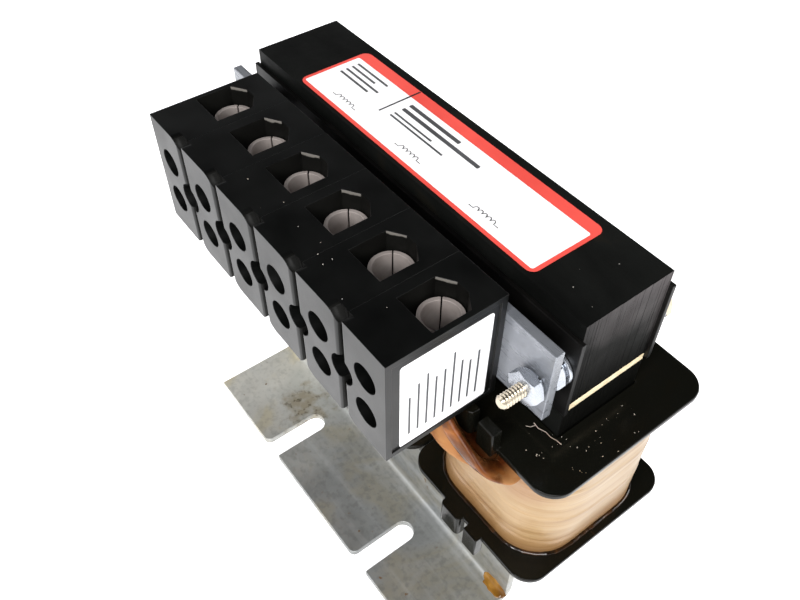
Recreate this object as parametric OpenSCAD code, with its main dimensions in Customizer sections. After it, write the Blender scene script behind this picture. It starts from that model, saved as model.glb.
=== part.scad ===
// Three-phase line reactor: an E-I laminated core with three coils, two slotted foot brackets
// and a six-pole terminal block on a bracket along its front.
// Millimetres. X runs along the core, -Y is the terminal side, +Z is up and Z = 0 is the mounting plane.

/* [Core] */
// Length of the laminated core
core_len = 127; // [118:1:140]
// Depth of the lamination stack
stack_d = 26.2; // [22:0.2:30]
// Width of each of the three legs
leg_w = 25.4; // [22:0.2:27]
// Height of the upper and the lower yoke
yoke_h = 28; // [25:0.5:32]
// Height of the legs between the lower yoke and the gap
leg_h = 56; // [52:0.2:62]
// Thickness of the gap shims
gap_t = 2.4; // [1.5:0.1:4]
// Height of the core above the mounting plane
core_z = 17; // [14:0.5:20]

/* [Bobbins] */
// Height of a bobbin over its flanges
bobbin_h = 47.2; // [40:0.2:48]
// Free gap between neighbouring bobbins
bobbin_gap = 0.6; // [0.3:0.1:2]
// Thickness of a flange
flange_t = 1.8; // [1.2:0.1:3]
// How far a flange reaches past the winding at the front and rear
flange_lip = 4.3; // [2.5:0.1:6]
// Corner radius of a flange
flange_r = 6.5; // [3:0.5:10]
// Wall of the tube around the leg
tube_t = 1.2; // [0.8:0.1:2]
// Clearance between the tube and the leg
tube_clear = 0.3; // [0.1:0.1:0.6]
// Height of the tie tabs beyond a flange
tab_h = 7; // [4:0.5:8]
// Thickness of the tie tabs
tab_t = 2; // [1.5:0.1:3]
// Width of the left tie tab
left_tab_w = 7.8; // [5:0.1:9]
// Distance of the left tie tab from the middle of its bobbin
left_tab_x = 4.4; // [4.4:0.05:8]
// Corner radius of the left tie tab
left_tab_r = 1.4; // [0.5:0.1:1.8]
// Width of the right tie tab
right_tab_w = 5.3; // [4:0.1:9]
// Distance of the right tie tab from the middle of its bobbin
right_tab_x = 4.35; // [4.35:0.05:8]
// Corner radius of the right tie tab
right_tab_r = 0.4; // [0.2:0.1:1.8]

/* [Windings] */
// Build of the copper winding on the tube
coil_t = 7.3; // [5:0.1:8]
// Thickness of the tape wrap
wrap_t = 0.8; // [0.5:0.1:1.2]
// Corner radius of the wrapped winding
wind_r = 16; // [12:0.5:18]
// How far the winding bulges half way up
wind_bulge = 0.9; // [0.5:0.1:1.5]
// Clearance around the copper
wind_clear = 0.2; // [0.1:0.1:0.4]
// Distance of a lead from the middle of its coil
lead_side = 9.2; // [7:0.1:11]
// Where a lead leaves its coil, below the upper flange
lead_below = 5.4; // [4:0.1:8]
// Width of a lead at its coil
lead_w = 8; // [6:0.1:9]
// Thickness of a lead at its coil
lead_t = 3; // [2:0.1:3.5]
// Width of a lead in its pole
tail_w = 5; // [4:0.1:6]
// Thickness of a lead in its pole
tail_t = 4; // [3:0.1:5]
// How far the leads swing out in front of the tie tabs
lead_swing = 2.5; // [2:0.1:4]
// Length of a lead above the floor of its well
tail_l = 2; // [1:0.1:4]

/* [Clamp plates] */
// Thickness of the clamp plates
clamp_t = 1.2; // [0.8:0.1:2]
// Height of the clamp plates
clamp_h = 25; // [22:0.5:26]
// How far a clamp plate passes each end of the core
clamp_over = 1; // [0:0.1:2]
// Distance of the upper clamp plates from the top of the core
clamp_inset = 4.4; // [3:0.1:5]
// Distance of the lower clamp plates from the underside of the core
clamp_lift = 0.5; // [0:0.1:1.5]

/* [Foot brackets] */
// Sheet thickness of the foot brackets
foot_t = 2.6; // [2:0.1:3.5]
// Length of a foot bracket
foot_len = 125.8; // [112:0.2:140]
// Reach of the foot in front of its flange
foot_reach = 30.45; // [27:0.05:36]
// Height of the flange above the mounting plane
foot_h = 29.8; // [28:0.2:34]
// Inner radius of the bend
bend_r = 2; // [1:0.5:3]
// Width of the mounting slots
slot_w = 7.1; // [5:0.1:8]
// Distance between the two slots of a bracket
slot_pitch = 53.2; // [40:0.1:70]
// Depth of a slot from the foot's edge
slot_l = 21.35; // [15:0.05:23]
// Radius of the left corner of a slot's mouth
slot_left_r = 2.2; // [0.4:0.1:3]
// Radius of the right corner of a slot's mouth
slot_right_r = 0.5; // [0.4:0.1:3]

/* [Terminal bracket] */
// Thickness of the plate
plate_t = 2.57; // [2:0.01:3.5]
// How far the plate passes each end of the core
plate_over = 0.5; // [0:0.1:2]
// Height of the plate
plate_h = 22; // [18:0.2:28]

/* [Fasteners] */
// Thread diameter of the bolts and screws
bolt_d = 3.5; // [3:0.1:4]
// Diametral clearance of the bolt holes
hole_clear = 0.5; // [0.3:0.1:0.8]
// Width across flats of nuts and heads
nut_af = 7.94; // [7:0.01:8.5]
// Thickness of a nut
nut_t = 2.77; // [2:0.01:3.5]
// Thickness of a bolt head
head_t = 2.4; // [1.5:0.1:3]
// Thickness of a split washer
lock_t = 0.9; // [0.6:0.1:1.2]
// Outer diameter of a split washer
lock_od = 6.4; // [6:0.1:7.5]
// Width of the cut in a split washer
lock_cut = 0.7; // [0.4:0.1:1.2]
// Thickness of a flat washer
flat_t = 0.9; // [0.6:0.1:1.5]
// Outer diameter of a flat washer
flat_od = 9.5; // [8.6:0.1:11]
// Distance of the upper bolts from the core's ends
bolt_inset = 3.7; // [3:0.1:6]
// How far the upper bolts lie below the middle of the upper yoke
bolt_drop = 1.1; // [0:0.1:2]
// Length of thread that stands out in front of the bracket nut
bolt_tip = 6; // [2:0.5:10]
// Distance of the lower bolts from the middle of the core
foot_bolt_x = 39; // [32:0.5:50]
// Height of the lower bolts above the underside of the core
foot_bolt_up = 6.5; // [5:0.1:7]
// Length of thread past a nut at the rear
thread_past = 2; // [1:0.1:4]

/* [Terminal block] */
// Number of poles
poles = 6; // [6:1:6]
// Distance from pole to pole
pole_pitch = 16.94; // [16.4:0.02:18]
// Depth of the block in front of its bracket
block_d = 30.91; // [30:0.01:34]
// Height of the block
block_h = 33.1; // [32:0.1:36]
// How far the middle of the block lies above the middle of its bracket
block_rise = 0.35; // [0:0.05:1]
// Width of the nose of a pole
nose_w = 15.84; // [15:0.02:16.2]
// Radius of the upright edges of a nose
nose_edge_r = 1.2; // [0.4:0.1:1.4]
// Depth of the grooves between the noses
groove_d = 2.6; // [1.6:0.1:4]
// Radius of the upper right and the lower left corner of a nose
nose_r = 4; // [2:0.1:5]
// Radius of the other two corners of a nose
nose_small_r = 1.6; // [0.4:0.1:3]
// Half width of the end poles on their outer side
end_half = 7.05; // [6.8:0.05:8]
// Diameter of the wire holes
wire_d = 7.4; // [6:0.1:8]
// Upper wire hole below the top of the block
wire_below = 10.9; // [9:0.1:12]
// Distance between the upper and the lower wire hole
wire_pitch = 11.9; // [10:0.1:13]
// Diameter of the counterbores at the seams
seam_d = 7.8; // [7:0.1:8.4]
// Depth of the counterbores at the seams
seam_l = 10.35; // [6:0.05:11]
// Width of a well
well_w = 11.3; // [11:0.1:12]
// Depth of a well from front to back
well_d = 12.5; // [12:0.1:13.5]
// Wall between the front of the block and a well
well_wall = 12.25; // [11.5:0.05:13]
// Chamfer of a well's rear corners along X
chamfer_x = 3.9; // [1:0.1:4]
// Chamfer of a well's rear corners along Y
chamfer_y = 2.6; // [1:0.1:3]
// Thickness of the floor under a well
floor_t = 3.3; // [2:0.1:5]
// Diameter of the lead hole in the floor
lead_hole_d = 7; // [6.4:0.1:7.5]
// Border around the recess on the near end
recess_rim = 1.6; // [1:0.1:3]
// Depth of the recess on the near end
recess_t = 0.4; // [0.2:0.1:0.6]

/* [Terminal clamps] */
// Outer diameter of a clamp sleeve
sleeve_od = 10.4; // [10:0.1:10.6]
// Wall of a clamp sleeve
sleeve_t = 1; // [0.8:0.1:1.2]
// Rim of a sleeve below the top of the block
sleeve_below = 5; // [3:0.1:7]
// Clearance between a sleeve and the rear of its well
sleeve_clear = 0.2; // [0.1:0.05:0.4]
// Diameter of the wire holes in a sleeve
sleeve_hole = 6.6; // [5:0.1:7]
// Width of the rolled seam in a sleeve
slit_w = 0.3; // [0.2:0.1:1]
// Direction of the seam from straight forward
slit_turn = 130; // [90:5:180]
// Clearance between a clamp screw and its sleeve
screw_clear = 0.1; // [0.05:0.01:0.2]
// Length of a clamp screw
screw_l = 6; // [4:0.1:8]
// Top of a clamp screw below the top of the block
screw_below = 14.4; // [6:0.1:16]
// Width of the screwdriver slots
driver_w = 1.2; // [0.8:0.1:1.6]
// Depth of the screwdriver slots
driver_l = 1.6; // [1:0.1:2.5]

/* [Hidden] */
$fn = 64;
cut = 1;

// Levels of the core
base_top = core_z + yoke_h;
leg_top = base_top + leg_h;
yoke_z = leg_top + gap_t;
yoke_mid = yoke_z + yoke_h / 2;
core_top = yoke_z + yoke_h;
core_face = stack_d / 2;
leg_pitch = (core_len - leg_w) / 2;

// Bobbin and winding, from the leg outwards
bore_x = leg_w / 2 + tube_clear;
bore_y = core_face + tube_clear;
tube_x = bore_x + tube_t;
tube_y = bore_y + tube_t;
coil_x = tube_x + coil_t;
coil_y = tube_y + coil_t;
wrap_x = coil_x + wrap_t;
wrap_y = coil_y + wrap_t;
flange_w = leg_pitch - bobbin_gap;
flange_d = 2 * (wrap_y + flange_lip);
bobbin_top = base_top + bobbin_h;
wind_z0 = base_top + flange_t;
wind_z1 = bobbin_top - flange_t;

// Stack of pieces in front of the core
clamp_face = core_face + clamp_t;
flat_face = clamp_face + flat_t;
lock_face = flat_face + lock_t;
nut_face = lock_face + nut_t;
plate_face = nut_face + plate_t;
bracket_lock_face = plate_face + lock_t;
bracket_nut_face = bracket_lock_face + nut_t;
foot_face = clamp_face + foot_t;
foot_edge = foot_face + foot_reach;

// Bolts
hole_d = bolt_d + hole_clear;
plate_len = core_len + 2 * plate_over;
bolt_x = core_len / 2 - bolt_inset;
bolt_z = yoke_mid - bolt_drop;
foot_bolt_z = core_z + foot_bolt_up;

// Terminal block
block_front = -plate_face - block_d;
block_z = yoke_mid + block_rise - block_h / 2;
block_top = block_z + block_h;
upper_wire_z = block_top - wire_below;
lower_wire_z = upper_wire_z - wire_pitch;
seam_z = (upper_wire_z + lower_wire_z) / 2;
seam_seat = block_front + seam_l;
well_front = block_front + well_wall;
well_back = well_front + well_d;
well_floor = block_z + floor_t;
sleeve_y = well_back - sleeve_clear - sleeve_od / 2;
sleeve_top = block_top - sleeve_below;
screw_d = sleeve_od - 2 * sleeve_t - 2 * screw_clear;
block_screw_x = pole_pitch * (poles / 2 - 1);

// Leads: share of the way from coil to pole, Y and Z at each point
lead_sides = 10;
lead_steps = 3;
lead_seat = wrap_y + wind_bulge + wind_clear / 2;
lead_front = flange_d / 2 + tab_t + lead_swing;
lead_z = wind_z1 - lead_below;
lead_rise = block_z - bobbin_top;
lead_route = [
    [0, -lead_seat, lead_z],
    [0, -flange_d / 2, lead_z + wind_clear],
    [0.2, -lead_front, wind_z1 - lead_t / 2],
    [0.65, sleeve_y, bobbin_top + lead_rise / 4],
    [0.95, sleeve_y, bobbin_top + lead_rise * 3 / 4],
    [1, sleeve_y, block_z + floor_t / 2],
    [1, sleeve_y, well_floor + tail_l]
];

// Centre of a pole, numbered from the far end
function pole_x(k) = (k - (poles + 1) / 2) * pole_pitch;

// Centre of a leg: -1, 0 and 1 are left, middle and right
function leg_x(side) = side * leg_pitch;

// Extrudes a drawing of X and Z between two places along Y
module along_y(y0, y1) {
    translate([0, y1, 0])
        rotate([90, 0, 0])
            linear_extrude(y1 - y0)
                children();
}

// Extrudes a drawing of Y and Z between two places along X
module along_x(x0, x1) {
    translate([x0, 0, 0])
        rotate([90, 0, 90])
            linear_extrude(x1 - x0)
                children();
}

// Places its children at both bolt places of a row
module pair(x, z) {
    for (side = [-1, 1])
        translate([side * x, 0, z])
            children();
}

// Front and rear halves are mirror images
module at_rear() {
    mirror([0, 1, 0])
        children();
}

module rounded_rect(w, d, r) {
    square([w - 2 * r, d], center = true);
    square([w, d - 2 * r], center = true);
    for (sx = [-1, 1], sy = [-1, 1])
        translate([sx * (w / 2 - r), sy * (d / 2 - r)])
            circle(r);
}

// Waste outside a rounded corner that points to +X and +Y
module corner_waste(r, past = cut) {
    difference() {
        square(r + past);
        circle(r);
    }
}

module round_hole(d, y0, y1) {
    along_y(y0, y1)
        circle(d = d);
}

module bolt_holes(x, z, d, reach) {
    pair(x, z)
        round_hole(d, -reach, reach);
}

// Core

module core_e() {
    color([0.16, 0.15, 0.16])
        difference() {
            union() {
                translate([-core_len / 2, -core_face, core_z])
                    cube([core_len, stack_d, yoke_h]);
                for (side = [-1, 0, 1])
                    translate([leg_x(side) - leg_w / 2, -core_face, base_top])
                        cube([leg_w, stack_d, leg_h]);
            }
            bolt_holes(foot_bolt_x, foot_bolt_z, hole_d, core_face + cut);
        }
}

module core_yoke() {
    color([0.12, 0.11, 0.12])
        difference() {
            translate([-core_len / 2, -core_face, yoke_z])
                cube([core_len, stack_d, yoke_h]);
            bolt_holes(bolt_x, bolt_z, hole_d, core_face + cut);
        }
}

module gap_shim(side) {
    color([0.86, 0.8, 0.66])
        translate([leg_x(side) - leg_w / 2, -core_face, leg_top])
            cube([leg_w, stack_d, gap_t]);
}

// Bobbins and windings

module flange(z) {
    translate([0, 0, z])
        linear_extrude(flange_t)
            rounded_rect(flange_w, flange_d, flange_r);
}

// Plan of a tie tab with rounded front corners
module tie_tab_plan(w, r) {
    difference() {
        translate([-w / 2, -tab_t])
            square([w, tab_t + cut]);
        for (side = [0, 1])
            mirror([side, 0])
                translate([w / 2 - r, r - tab_t])
                    rotate(-90)
                        corner_waste(r);
    }
}

// Tie tabs in front of a flange, from its inner face outwards
module tie_tabs(z0, z1) {
    translate([0, -flange_d / 2, z0])
        linear_extrude(z1 - z0) {
            translate([-left_tab_x, 0])
                tie_tab_plan(left_tab_w, left_tab_r);
            translate([right_tab_x, 0])
                tie_tab_plan(right_tab_w, right_tab_r);
        }
}

module bobbin(side) {
    color([0.05, 0.05, 0.05])
        translate([leg_x(side), 0, 0])
            difference() {
                union() {
                    flange(base_top);
                    flange(wind_z1);
                    translate([-tube_x, -tube_y, base_top])
                        cube([2 * tube_x, 2 * tube_y, bobbin_h]);
                    tie_tabs(base_top - tab_h, base_top + flange_t);
                    tie_tabs(wind_z1, bobbin_top + tab_h);
                }
                translate([-bore_x, -bore_y, base_top - cut])
                    cube([2 * bore_x, 2 * bore_y, bobbin_h + 2 * cut]);
            }
}

// Side view of a bulging winding, between two arcs
module bulged_side(half) {
    h = wind_z1 - wind_z0;
    r = (h * h / 4 + wind_bulge * wind_bulge) / (2 * wind_bulge);
    translate([0, (wind_z0 + wind_z1) / 2])
        intersection_for (side = [-1, 1])
            translate([side * (half + wind_bulge - r), 0])
                circle(r, $fn = 256);
}

// Outer form of a winding: round-cornered in plan, bulging in both side views
module winding_form(half_x, half_y, r, z0, z1) {
    intersection() {
        translate([0, 0, z0])
            linear_extrude(z1 - z0)
                rounded_rect(2 * (half_x + wind_bulge), 2 * (half_y + wind_bulge), r);
        along_x(-half_x - 2 * wind_bulge, half_x + 2 * wind_bulge)
            bulged_side(half_y);
        along_y(-half_y - 2 * wind_bulge, half_y + 2 * wind_bulge)
            bulged_side(half_x);
    }
}

module coil(side) {
    color([0.72, 0.42, 0.2])
        translate([leg_x(side), 0, 0])
            difference() {
                winding_form(coil_x - wind_clear, coil_y - wind_clear, wind_r - wrap_t,
                             wind_z0, wind_z1 - wind_clear);
                translate([-tube_x - wind_clear, -tube_y - wind_clear, wind_z0 - cut])
                    cube([2 * (tube_x + wind_clear), 2 * (tube_y + wind_clear), bobbin_h]);
            }
}

module wrap(side) {
    color([0.87, 0.77, 0.58])
        translate([leg_x(side), 0, 0])
            difference() {
                winding_form(wrap_x, wrap_y, wind_r, wind_z0, wind_z1);
                winding_form(coil_x, coil_y, wind_r - wrap_t, wind_z0 - cut, wind_z1 + cut);
            }
}

// Leads

function mix(a, b, t) = a + (b - a) * t;

function unit(v) = v / norm(v);

// Point between b and c on a smooth curve through the four
function spline(a, b, c, d, t) =
    b + t * ((c - a) / 2 + t * ((2 * a - 5 * b + 4 * c - d) / 2 + t * (3 * b - a - 3 * c + d) / 2));

function lead_point(k, i) =
    let (side = ceil(k / 2) - 2)
    let (p = lead_route[min(max(i, 0), len(lead_route) - 1)])
    let (start = leg_x(side) + (k % 2 == 1 ? -lead_side : lead_side))
    [mix(start, pole_x(k), p[0]), p[1], p[2], mix(lead_w, tail_w, p[0]), mix(lead_t, tail_t, p[0])];

function lead_stations(k) = [
    for (i = [0 : len(lead_route) - 2], s = [0 : lead_steps - 1])
        let (p = [for (n = [-1 : 2]) lead_point(k, i + n)])
        spline(p[0], p[1], p[2], p[3], s / lead_steps),
    lead_point(k, len(lead_route) - 1)
];

function place(station) = [station[0], station[1], station[2]];

// Oval ring across the route at one station
function lead_ring(stations, i) =
    let (before = place(stations[max(i - 1, 0)]))
    let (after = place(stations[min(i + 1, len(stations) - 1)]))
    let (along = unit(after - before))
    let (across = unit([1, 0, 0] - along[0] * along))
    let (up = cross(along, across))
    [for (j = [0 : lead_sides - 1])
        let (a = 360 * j / lead_sides)
        place(stations[i]) + across * cos(a) * stations[i][3] / 2 + up * sin(a) * stations[i][4] / 2];

module lead(k) {
    stations = lead_stations(k);
    last = len(stations) - 1;
    rings = [for (i = [0 : last]) each lead_ring(stations, i)];
    walls = [for (i = [0 : last - 1], j = [0 : lead_sides - 1])
        let (next = (j + 1) % lead_sides)
        each [
            [i * lead_sides + j, (i + 1) * lead_sides + j, (i + 1) * lead_sides + next],
            [i * lead_sides + j, (i + 1) * lead_sides + next, i * lead_sides + next]
        ]];
    first_cap = [for (j = [0 : lead_sides - 1]) j];
    last_cap = [for (j = [lead_sides - 1 : -1 : 0]) last * lead_sides + j];
    color([0.45, 0.22, 0.1])
        polyhedron(rings, concat(walls, [first_cap, last_cap]));
}

// Clamp plates and foot brackets

module clamp_plate(z, hole_x, hole_z) {
    color([0.06, 0.06, 0.06])
        difference() {
            translate([-core_len / 2 - clamp_over, -clamp_face, z])
                cube([core_len + 2 * clamp_over, clamp_t, clamp_h]);
            bolt_holes(hole_x, hole_z, hole_d, clamp_face + cut);
        }
}

module clamp_plate_upper() {
    clamp_plate(core_top - clamp_inset - clamp_h, bolt_x, bolt_z);
}

module clamp_plate_lower() {
    clamp_plate(core_z + clamp_lift, foot_bolt_x, foot_bolt_z);
}

// Section of a foot bracket: foot, bend and flange
module foot_section() {
    bend_y = -foot_face - bend_r;
    bend_z = foot_t + bend_r;
    translate([-foot_edge, 0])
        square([foot_edge + bend_y, foot_t]);
    translate([-foot_face, bend_z])
        square([foot_t, foot_h - bend_z]);
    translate([bend_y, bend_z])
        intersection() {
            difference() {
                circle(bend_r + foot_t);
                circle(bend_r);
            }
            translate([0, -bend_r - foot_t])
                square(bend_r + foot_t);
        }
}

// Plan of one open slot with its mouth at the foot's edge
module slot_plan() {
    tip = -foot_edge + slot_l - slot_w / 2;
    translate([0, tip])
        circle(d = slot_w);
    translate([-slot_w / 2, -foot_edge - cut])
        square([slot_w, tip + foot_edge + cut]);
    mirror([1, 0])
        mouth_waste(slot_left_r);
    mouth_waste(slot_right_r);
}

// Waste outside the right corner of a slot's mouth
module mouth_waste(r) {
    translate([slot_w / 2 + r, r - foot_edge])
        rotate(180)
            corner_waste(r);
}

module foot_bracket() {
    color([0.72, 0.72, 0.69])
        difference() {
            along_x(-foot_len / 2, foot_len / 2)
                foot_section();
            for (side = [-1, 1])
                translate([side * slot_pitch / 2, 0, -cut])
                    linear_extrude(foot_t + 2 * cut)
                        slot_plan();
            bolt_holes(foot_bolt_x, foot_bolt_z, hole_d, foot_face + cut);
        }
}

// Fasteners, each drawn around the Y axis and seated at y, growing towards -Y

module hex_block(y, t) {
    along_y(y - t, y)
        circle(d = nut_af / cos(30), $fn = 6);
}

module hex_nut(y) {
    color([0.7, 0.72, 0.75])
        difference() {
            hex_block(y, nut_t);
            round_hole(bolt_d, y - nut_t - cut, y + cut);
        }
}

module flat_washer(y) {
    color([0.74, 0.74, 0.72])
        difference() {
            round_hole(flat_od, y - flat_t, y);
            round_hole(hole_d, y - flat_t - cut, y + cut);
        }
}

module lock_washer(y) {
    color([0.66, 0.66, 0.66])
        difference() {
            round_hole(lock_od, y - lock_t, y);
            round_hole(hole_d, y - lock_t - cut, y + cut);
            translate([0, y - lock_t - cut, -lock_cut / 2])
                cube([lock_od, lock_t + 2 * cut, lock_cut]);
        }
}

// Bolt along Y with its tip in front and its head at the rear
module rear_headed_bolt(tip, seat) {
    color([0.74, 0.68, 0.52]) {
        round_hole(bolt_d, tip, seat);
        hex_block(seat + head_t, head_t);
    }
}

module yoke_bolts() {
    pair(bolt_x, bolt_z)
        rear_headed_bolt(-bracket_nut_face - bolt_tip, flat_face);
}

module yoke_flat_washers() {
    pair(bolt_x, bolt_z) {
        flat_washer(-clamp_face);
        at_rear()
            flat_washer(-clamp_face);
    }
}

module yoke_lock_washers() {
    pair(bolt_x, bolt_z)
        lock_washer(-flat_face);
}

module yoke_nuts() {
    pair(bolt_x, bolt_z)
        hex_nut(-lock_face);
}

module bracket_lock_washers() {
    pair(bolt_x, bolt_z)
        lock_washer(-plate_face);
}

module bracket_nuts() {
    pair(bolt_x, bolt_z)
        hex_nut(-bracket_lock_face);
}

// The lower bolts point to the rear, with their heads on the front bracket
module foot_bolts() {
    pair(foot_bolt_x, foot_bolt_z)
        at_rear()
            rear_headed_bolt(-foot_face - lock_t - nut_t - thread_past, foot_face);
}

module foot_lock_washers() {
    pair(foot_bolt_x, foot_bolt_z)
        at_rear()
            lock_washer(-foot_face);
}

module foot_nuts() {
    pair(foot_bolt_x, foot_bolt_z)
        at_rear()
            hex_nut(-foot_face - lock_t);
}

// Terminal bracket and block

module terminal_bracket() {
    color([0.78, 0.79, 0.8])
        difference() {
            translate([-plate_len / 2, -plate_face, yoke_mid - plate_h / 2])
                cube([plate_len, plate_t, plate_h]);
            bolt_holes(bolt_x, bolt_z, hole_d, plate_face + cut);
            bolt_holes(block_screw_x, seam_z, hole_d, plate_face + cut);
        }
}

// Plan of a well, square in front and chamfered behind
module well_plan() {
    half = well_w / 2;
    polygon([
        [-half, well_front],
        [half, well_front],
        [half, well_back - chamfer_y],
        [half - chamfer_x, well_back],
        [chamfer_x - half, well_back],
        [-half, well_back - chamfer_y]
    ]);
}

// Plan of the groove at a seam, between the round upright edges of two noses
module groove_plan(gap) {
    half = gap + nose_edge_r;
    difference() {
        translate([-half, block_front - cut])
            square([2 * half, groove_d + cut]);
        for (side = [-1, 1])
            translate([side * half, block_front + nose_edge_r]) {
                circle(nose_edge_r);
                translate([-nose_edge_r, 0])
                    square([2 * nose_edge_r, groove_d]);
            }
    }
}

// Waste on one seam: groove, rounded nose corners, counterbore and screw hole
module seam_waste() {
    gap = (pole_pitch - nose_w) / 2;
    translate([0, 0, block_z - cut])
        linear_extrude(block_h + 2 * cut)
            groove_plan(gap);
    translate([0, 0, block_z + block_h / 2])
        along_y(block_front - cut, block_front + groove_d)
            for (flip_x = [0, 1], flip_z = [0, 1]) {
                r = flip_x == flip_z ? nose_r : nose_small_r;
                mirror([flip_x, 0])
                    mirror([0, flip_z])
                        translate([-gap - r, block_h / 2 - r])
                            corner_waste(r, gap);
            }
    translate([0, 0, seam_z]) {
        round_hole(seam_d, block_front - cut, seam_seat);
        round_hole(hole_d, seam_seat - cut, -plate_face + cut);
    }
}

// Shallow recess on the near end
module end_recess() {
    translate([end_half - recess_t, block_front + recess_rim, block_z + recess_rim])
        cube([recess_t + cut, block_d - 2 * recess_rim, block_h - 2 * recess_rim]);
}

module terminal_pole(k) {
    left = k == 1 ? end_half : pole_pitch / 2;
    right = k == poles ? end_half : pole_pitch / 2;
    color([0.07, 0.07, 0.075])
        translate([pole_x(k), 0, 0])
            difference() {
                translate([-left, block_front, block_z])
                    cube([left + right, block_d, block_h]);
                translate([0, 0, well_floor])
                    linear_extrude(block_h)
                        well_plan();
                for (z = [upper_wire_z, lower_wire_z])
                    translate([0, 0, z])
                        round_hole(wire_d, block_front - cut, well_front + cut);
                translate([0, sleeve_y, block_z - cut])
                    cylinder(d = lead_hole_d, h = floor_t + 2 * cut);
                if (k > 1)
                    translate([-left, 0, 0])
                        seam_waste();
                if (k < poles)
                    translate([right, 0, 0])
                        seam_waste();
                if (k == poles)
                    end_recess();
            }
}

// Rolled sleeve with a seam and two wire holes in its front wall
module terminal_sleeve(k) {
    color([0.8, 0.8, 0.79])
        translate([pole_x(k), sleeve_y, 0])
            difference() {
                translate([0, 0, well_floor])
                    cylinder(d = sleeve_od, h = sleeve_top - well_floor);
                translate([0, 0, well_floor - cut])
                    cylinder(d = sleeve_od - 2 * sleeve_t, h = sleeve_top - well_floor + 2 * cut);
                for (z = [upper_wire_z, lower_wire_z])
                    translate([0, 0, z])
                        round_hole(sleeve_hole, -sleeve_od, 0);
                rotate(-90 - slit_turn)
                    translate([0, -slit_w / 2, well_floor - cut])
                        cube([sleeve_od, slit_w, sleeve_top - well_floor + 2 * cut]);
            }
}

module terminal_screws() {
    top = block_top - screw_below;
    color([0.72, 0.73, 0.74])
        for (k = [1 : poles])
            translate([pole_x(k), sleeve_y, top - screw_l])
                difference() {
                    cylinder(d = screw_d, h = screw_l);
                    translate([-screw_d, -driver_w / 2, screw_l - driver_l])
                        cube([2 * screw_d, driver_w, driver_l + cut]);
                }
}

// Screws from the front through the seams, with nuts behind the bracket
module block_screws() {
    color([0.7, 0.7, 0.7])
        pair(block_screw_x, seam_z)
            difference() {
                union() {
                    round_hole(bolt_d, seam_seat - head_t, -nut_face + nut_t);
                    round_hole(seam_d - hole_clear, seam_seat - head_t, seam_seat);
                }
                translate([-seam_d, seam_seat - head_t - cut, -driver_w / 2])
                    cube([2 * seam_d, driver_l / 2 + cut, driver_w]);
            }
}

module block_nuts() {
    pair(block_screw_x, seam_z)
        at_rear()
            hex_nut(nut_face);
}

core_e();
core_yoke();
gap_shim(-1);  // gap_shim_left
gap_shim(0);  // gap_shim_middle
gap_shim(1);  // gap_shim_right
bobbin(-1);  // bobbin_left
bobbin(0);  // bobbin_middle
bobbin(1);  // bobbin_right
coil(-1);  // coil_left
coil(0);  // coil_middle
coil(1);  // coil_right
wrap(-1);  // wrap_left
wrap(0);  // wrap_middle
wrap(1);  // wrap_right
lead(1);  // lead_1
lead(2);  // lead_2
lead(3);  // lead_3
lead(4);  // lead_4
lead(5);  // lead_5
lead(6);  // lead_6
clamp_plate_upper();  // clamp_plate_upper_front
at_rear() clamp_plate_upper();  // clamp_plate_upper_rear
clamp_plate_lower();  // clamp_plate_lower_front
at_rear() clamp_plate_lower();  // clamp_plate_lower_rear
foot_bracket();  // foot_bracket_front
at_rear() foot_bracket();  // foot_bracket_rear
yoke_bolts();
yoke_flat_washers();
yoke_lock_washers();
yoke_nuts();
terminal_bracket();
bracket_lock_washers();
bracket_nuts();
foot_bolts();
foot_lock_washers();
foot_nuts();
terminal_pole(1);  // terminal_pole_1
terminal_pole(2);  // terminal_pole_2
terminal_pole(3);  // terminal_pole_3
terminal_pole(4);  // terminal_pole_4
terminal_pole(5);  // terminal_pole_5
terminal_pole(6);  // terminal_pole_6
terminal_sleeve(1);  // terminal_sleeve_1
terminal_sleeve(2);  // terminal_sleeve_2
terminal_sleeve(3);  // terminal_sleeve_3
terminal_sleeve(4);  // terminal_sleeve_4
terminal_sleeve(5);  // terminal_sleeve_5
terminal_sleeve(6);  // terminal_sleeve_6
terminal_screws();
block_screws();
block_nuts();
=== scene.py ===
# %% [markdown]
# # A line reactor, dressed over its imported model
# A line reactor is a heavy choke that sits in front of a motor drive: three taped coils on a
# laminated steel core, held by zinc brackets, with a black terminal block along the front. The
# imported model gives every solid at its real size. This file gives those solids their looks.

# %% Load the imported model
import math

import bmesh
import bpy
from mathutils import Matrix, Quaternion, Vector, noise


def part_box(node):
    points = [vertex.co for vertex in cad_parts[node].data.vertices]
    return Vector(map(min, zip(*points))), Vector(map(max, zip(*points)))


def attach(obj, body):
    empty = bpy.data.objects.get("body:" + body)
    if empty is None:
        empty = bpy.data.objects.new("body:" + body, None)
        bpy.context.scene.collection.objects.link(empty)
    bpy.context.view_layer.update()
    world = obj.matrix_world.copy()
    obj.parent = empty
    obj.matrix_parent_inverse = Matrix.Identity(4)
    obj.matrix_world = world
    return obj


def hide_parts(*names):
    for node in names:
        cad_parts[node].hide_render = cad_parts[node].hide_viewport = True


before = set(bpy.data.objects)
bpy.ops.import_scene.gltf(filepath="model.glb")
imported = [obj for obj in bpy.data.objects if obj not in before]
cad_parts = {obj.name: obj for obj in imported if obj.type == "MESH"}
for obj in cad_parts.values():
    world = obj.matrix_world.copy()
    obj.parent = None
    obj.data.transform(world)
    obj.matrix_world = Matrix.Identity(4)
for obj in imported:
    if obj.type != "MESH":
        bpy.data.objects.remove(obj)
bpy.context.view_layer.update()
scene = bpy.context.scene
MM = 0.001


def limits(node):
    """The lowest and highest corner of a solid, in mm."""
    return [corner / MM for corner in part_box(node)]


COIL_STEP = sum(corner.x for corner in limits("bobbin_right")) / 2
SIDES = {"left": -COIL_STEP, "middle": 0.0, "right": COIL_STEP}

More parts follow.
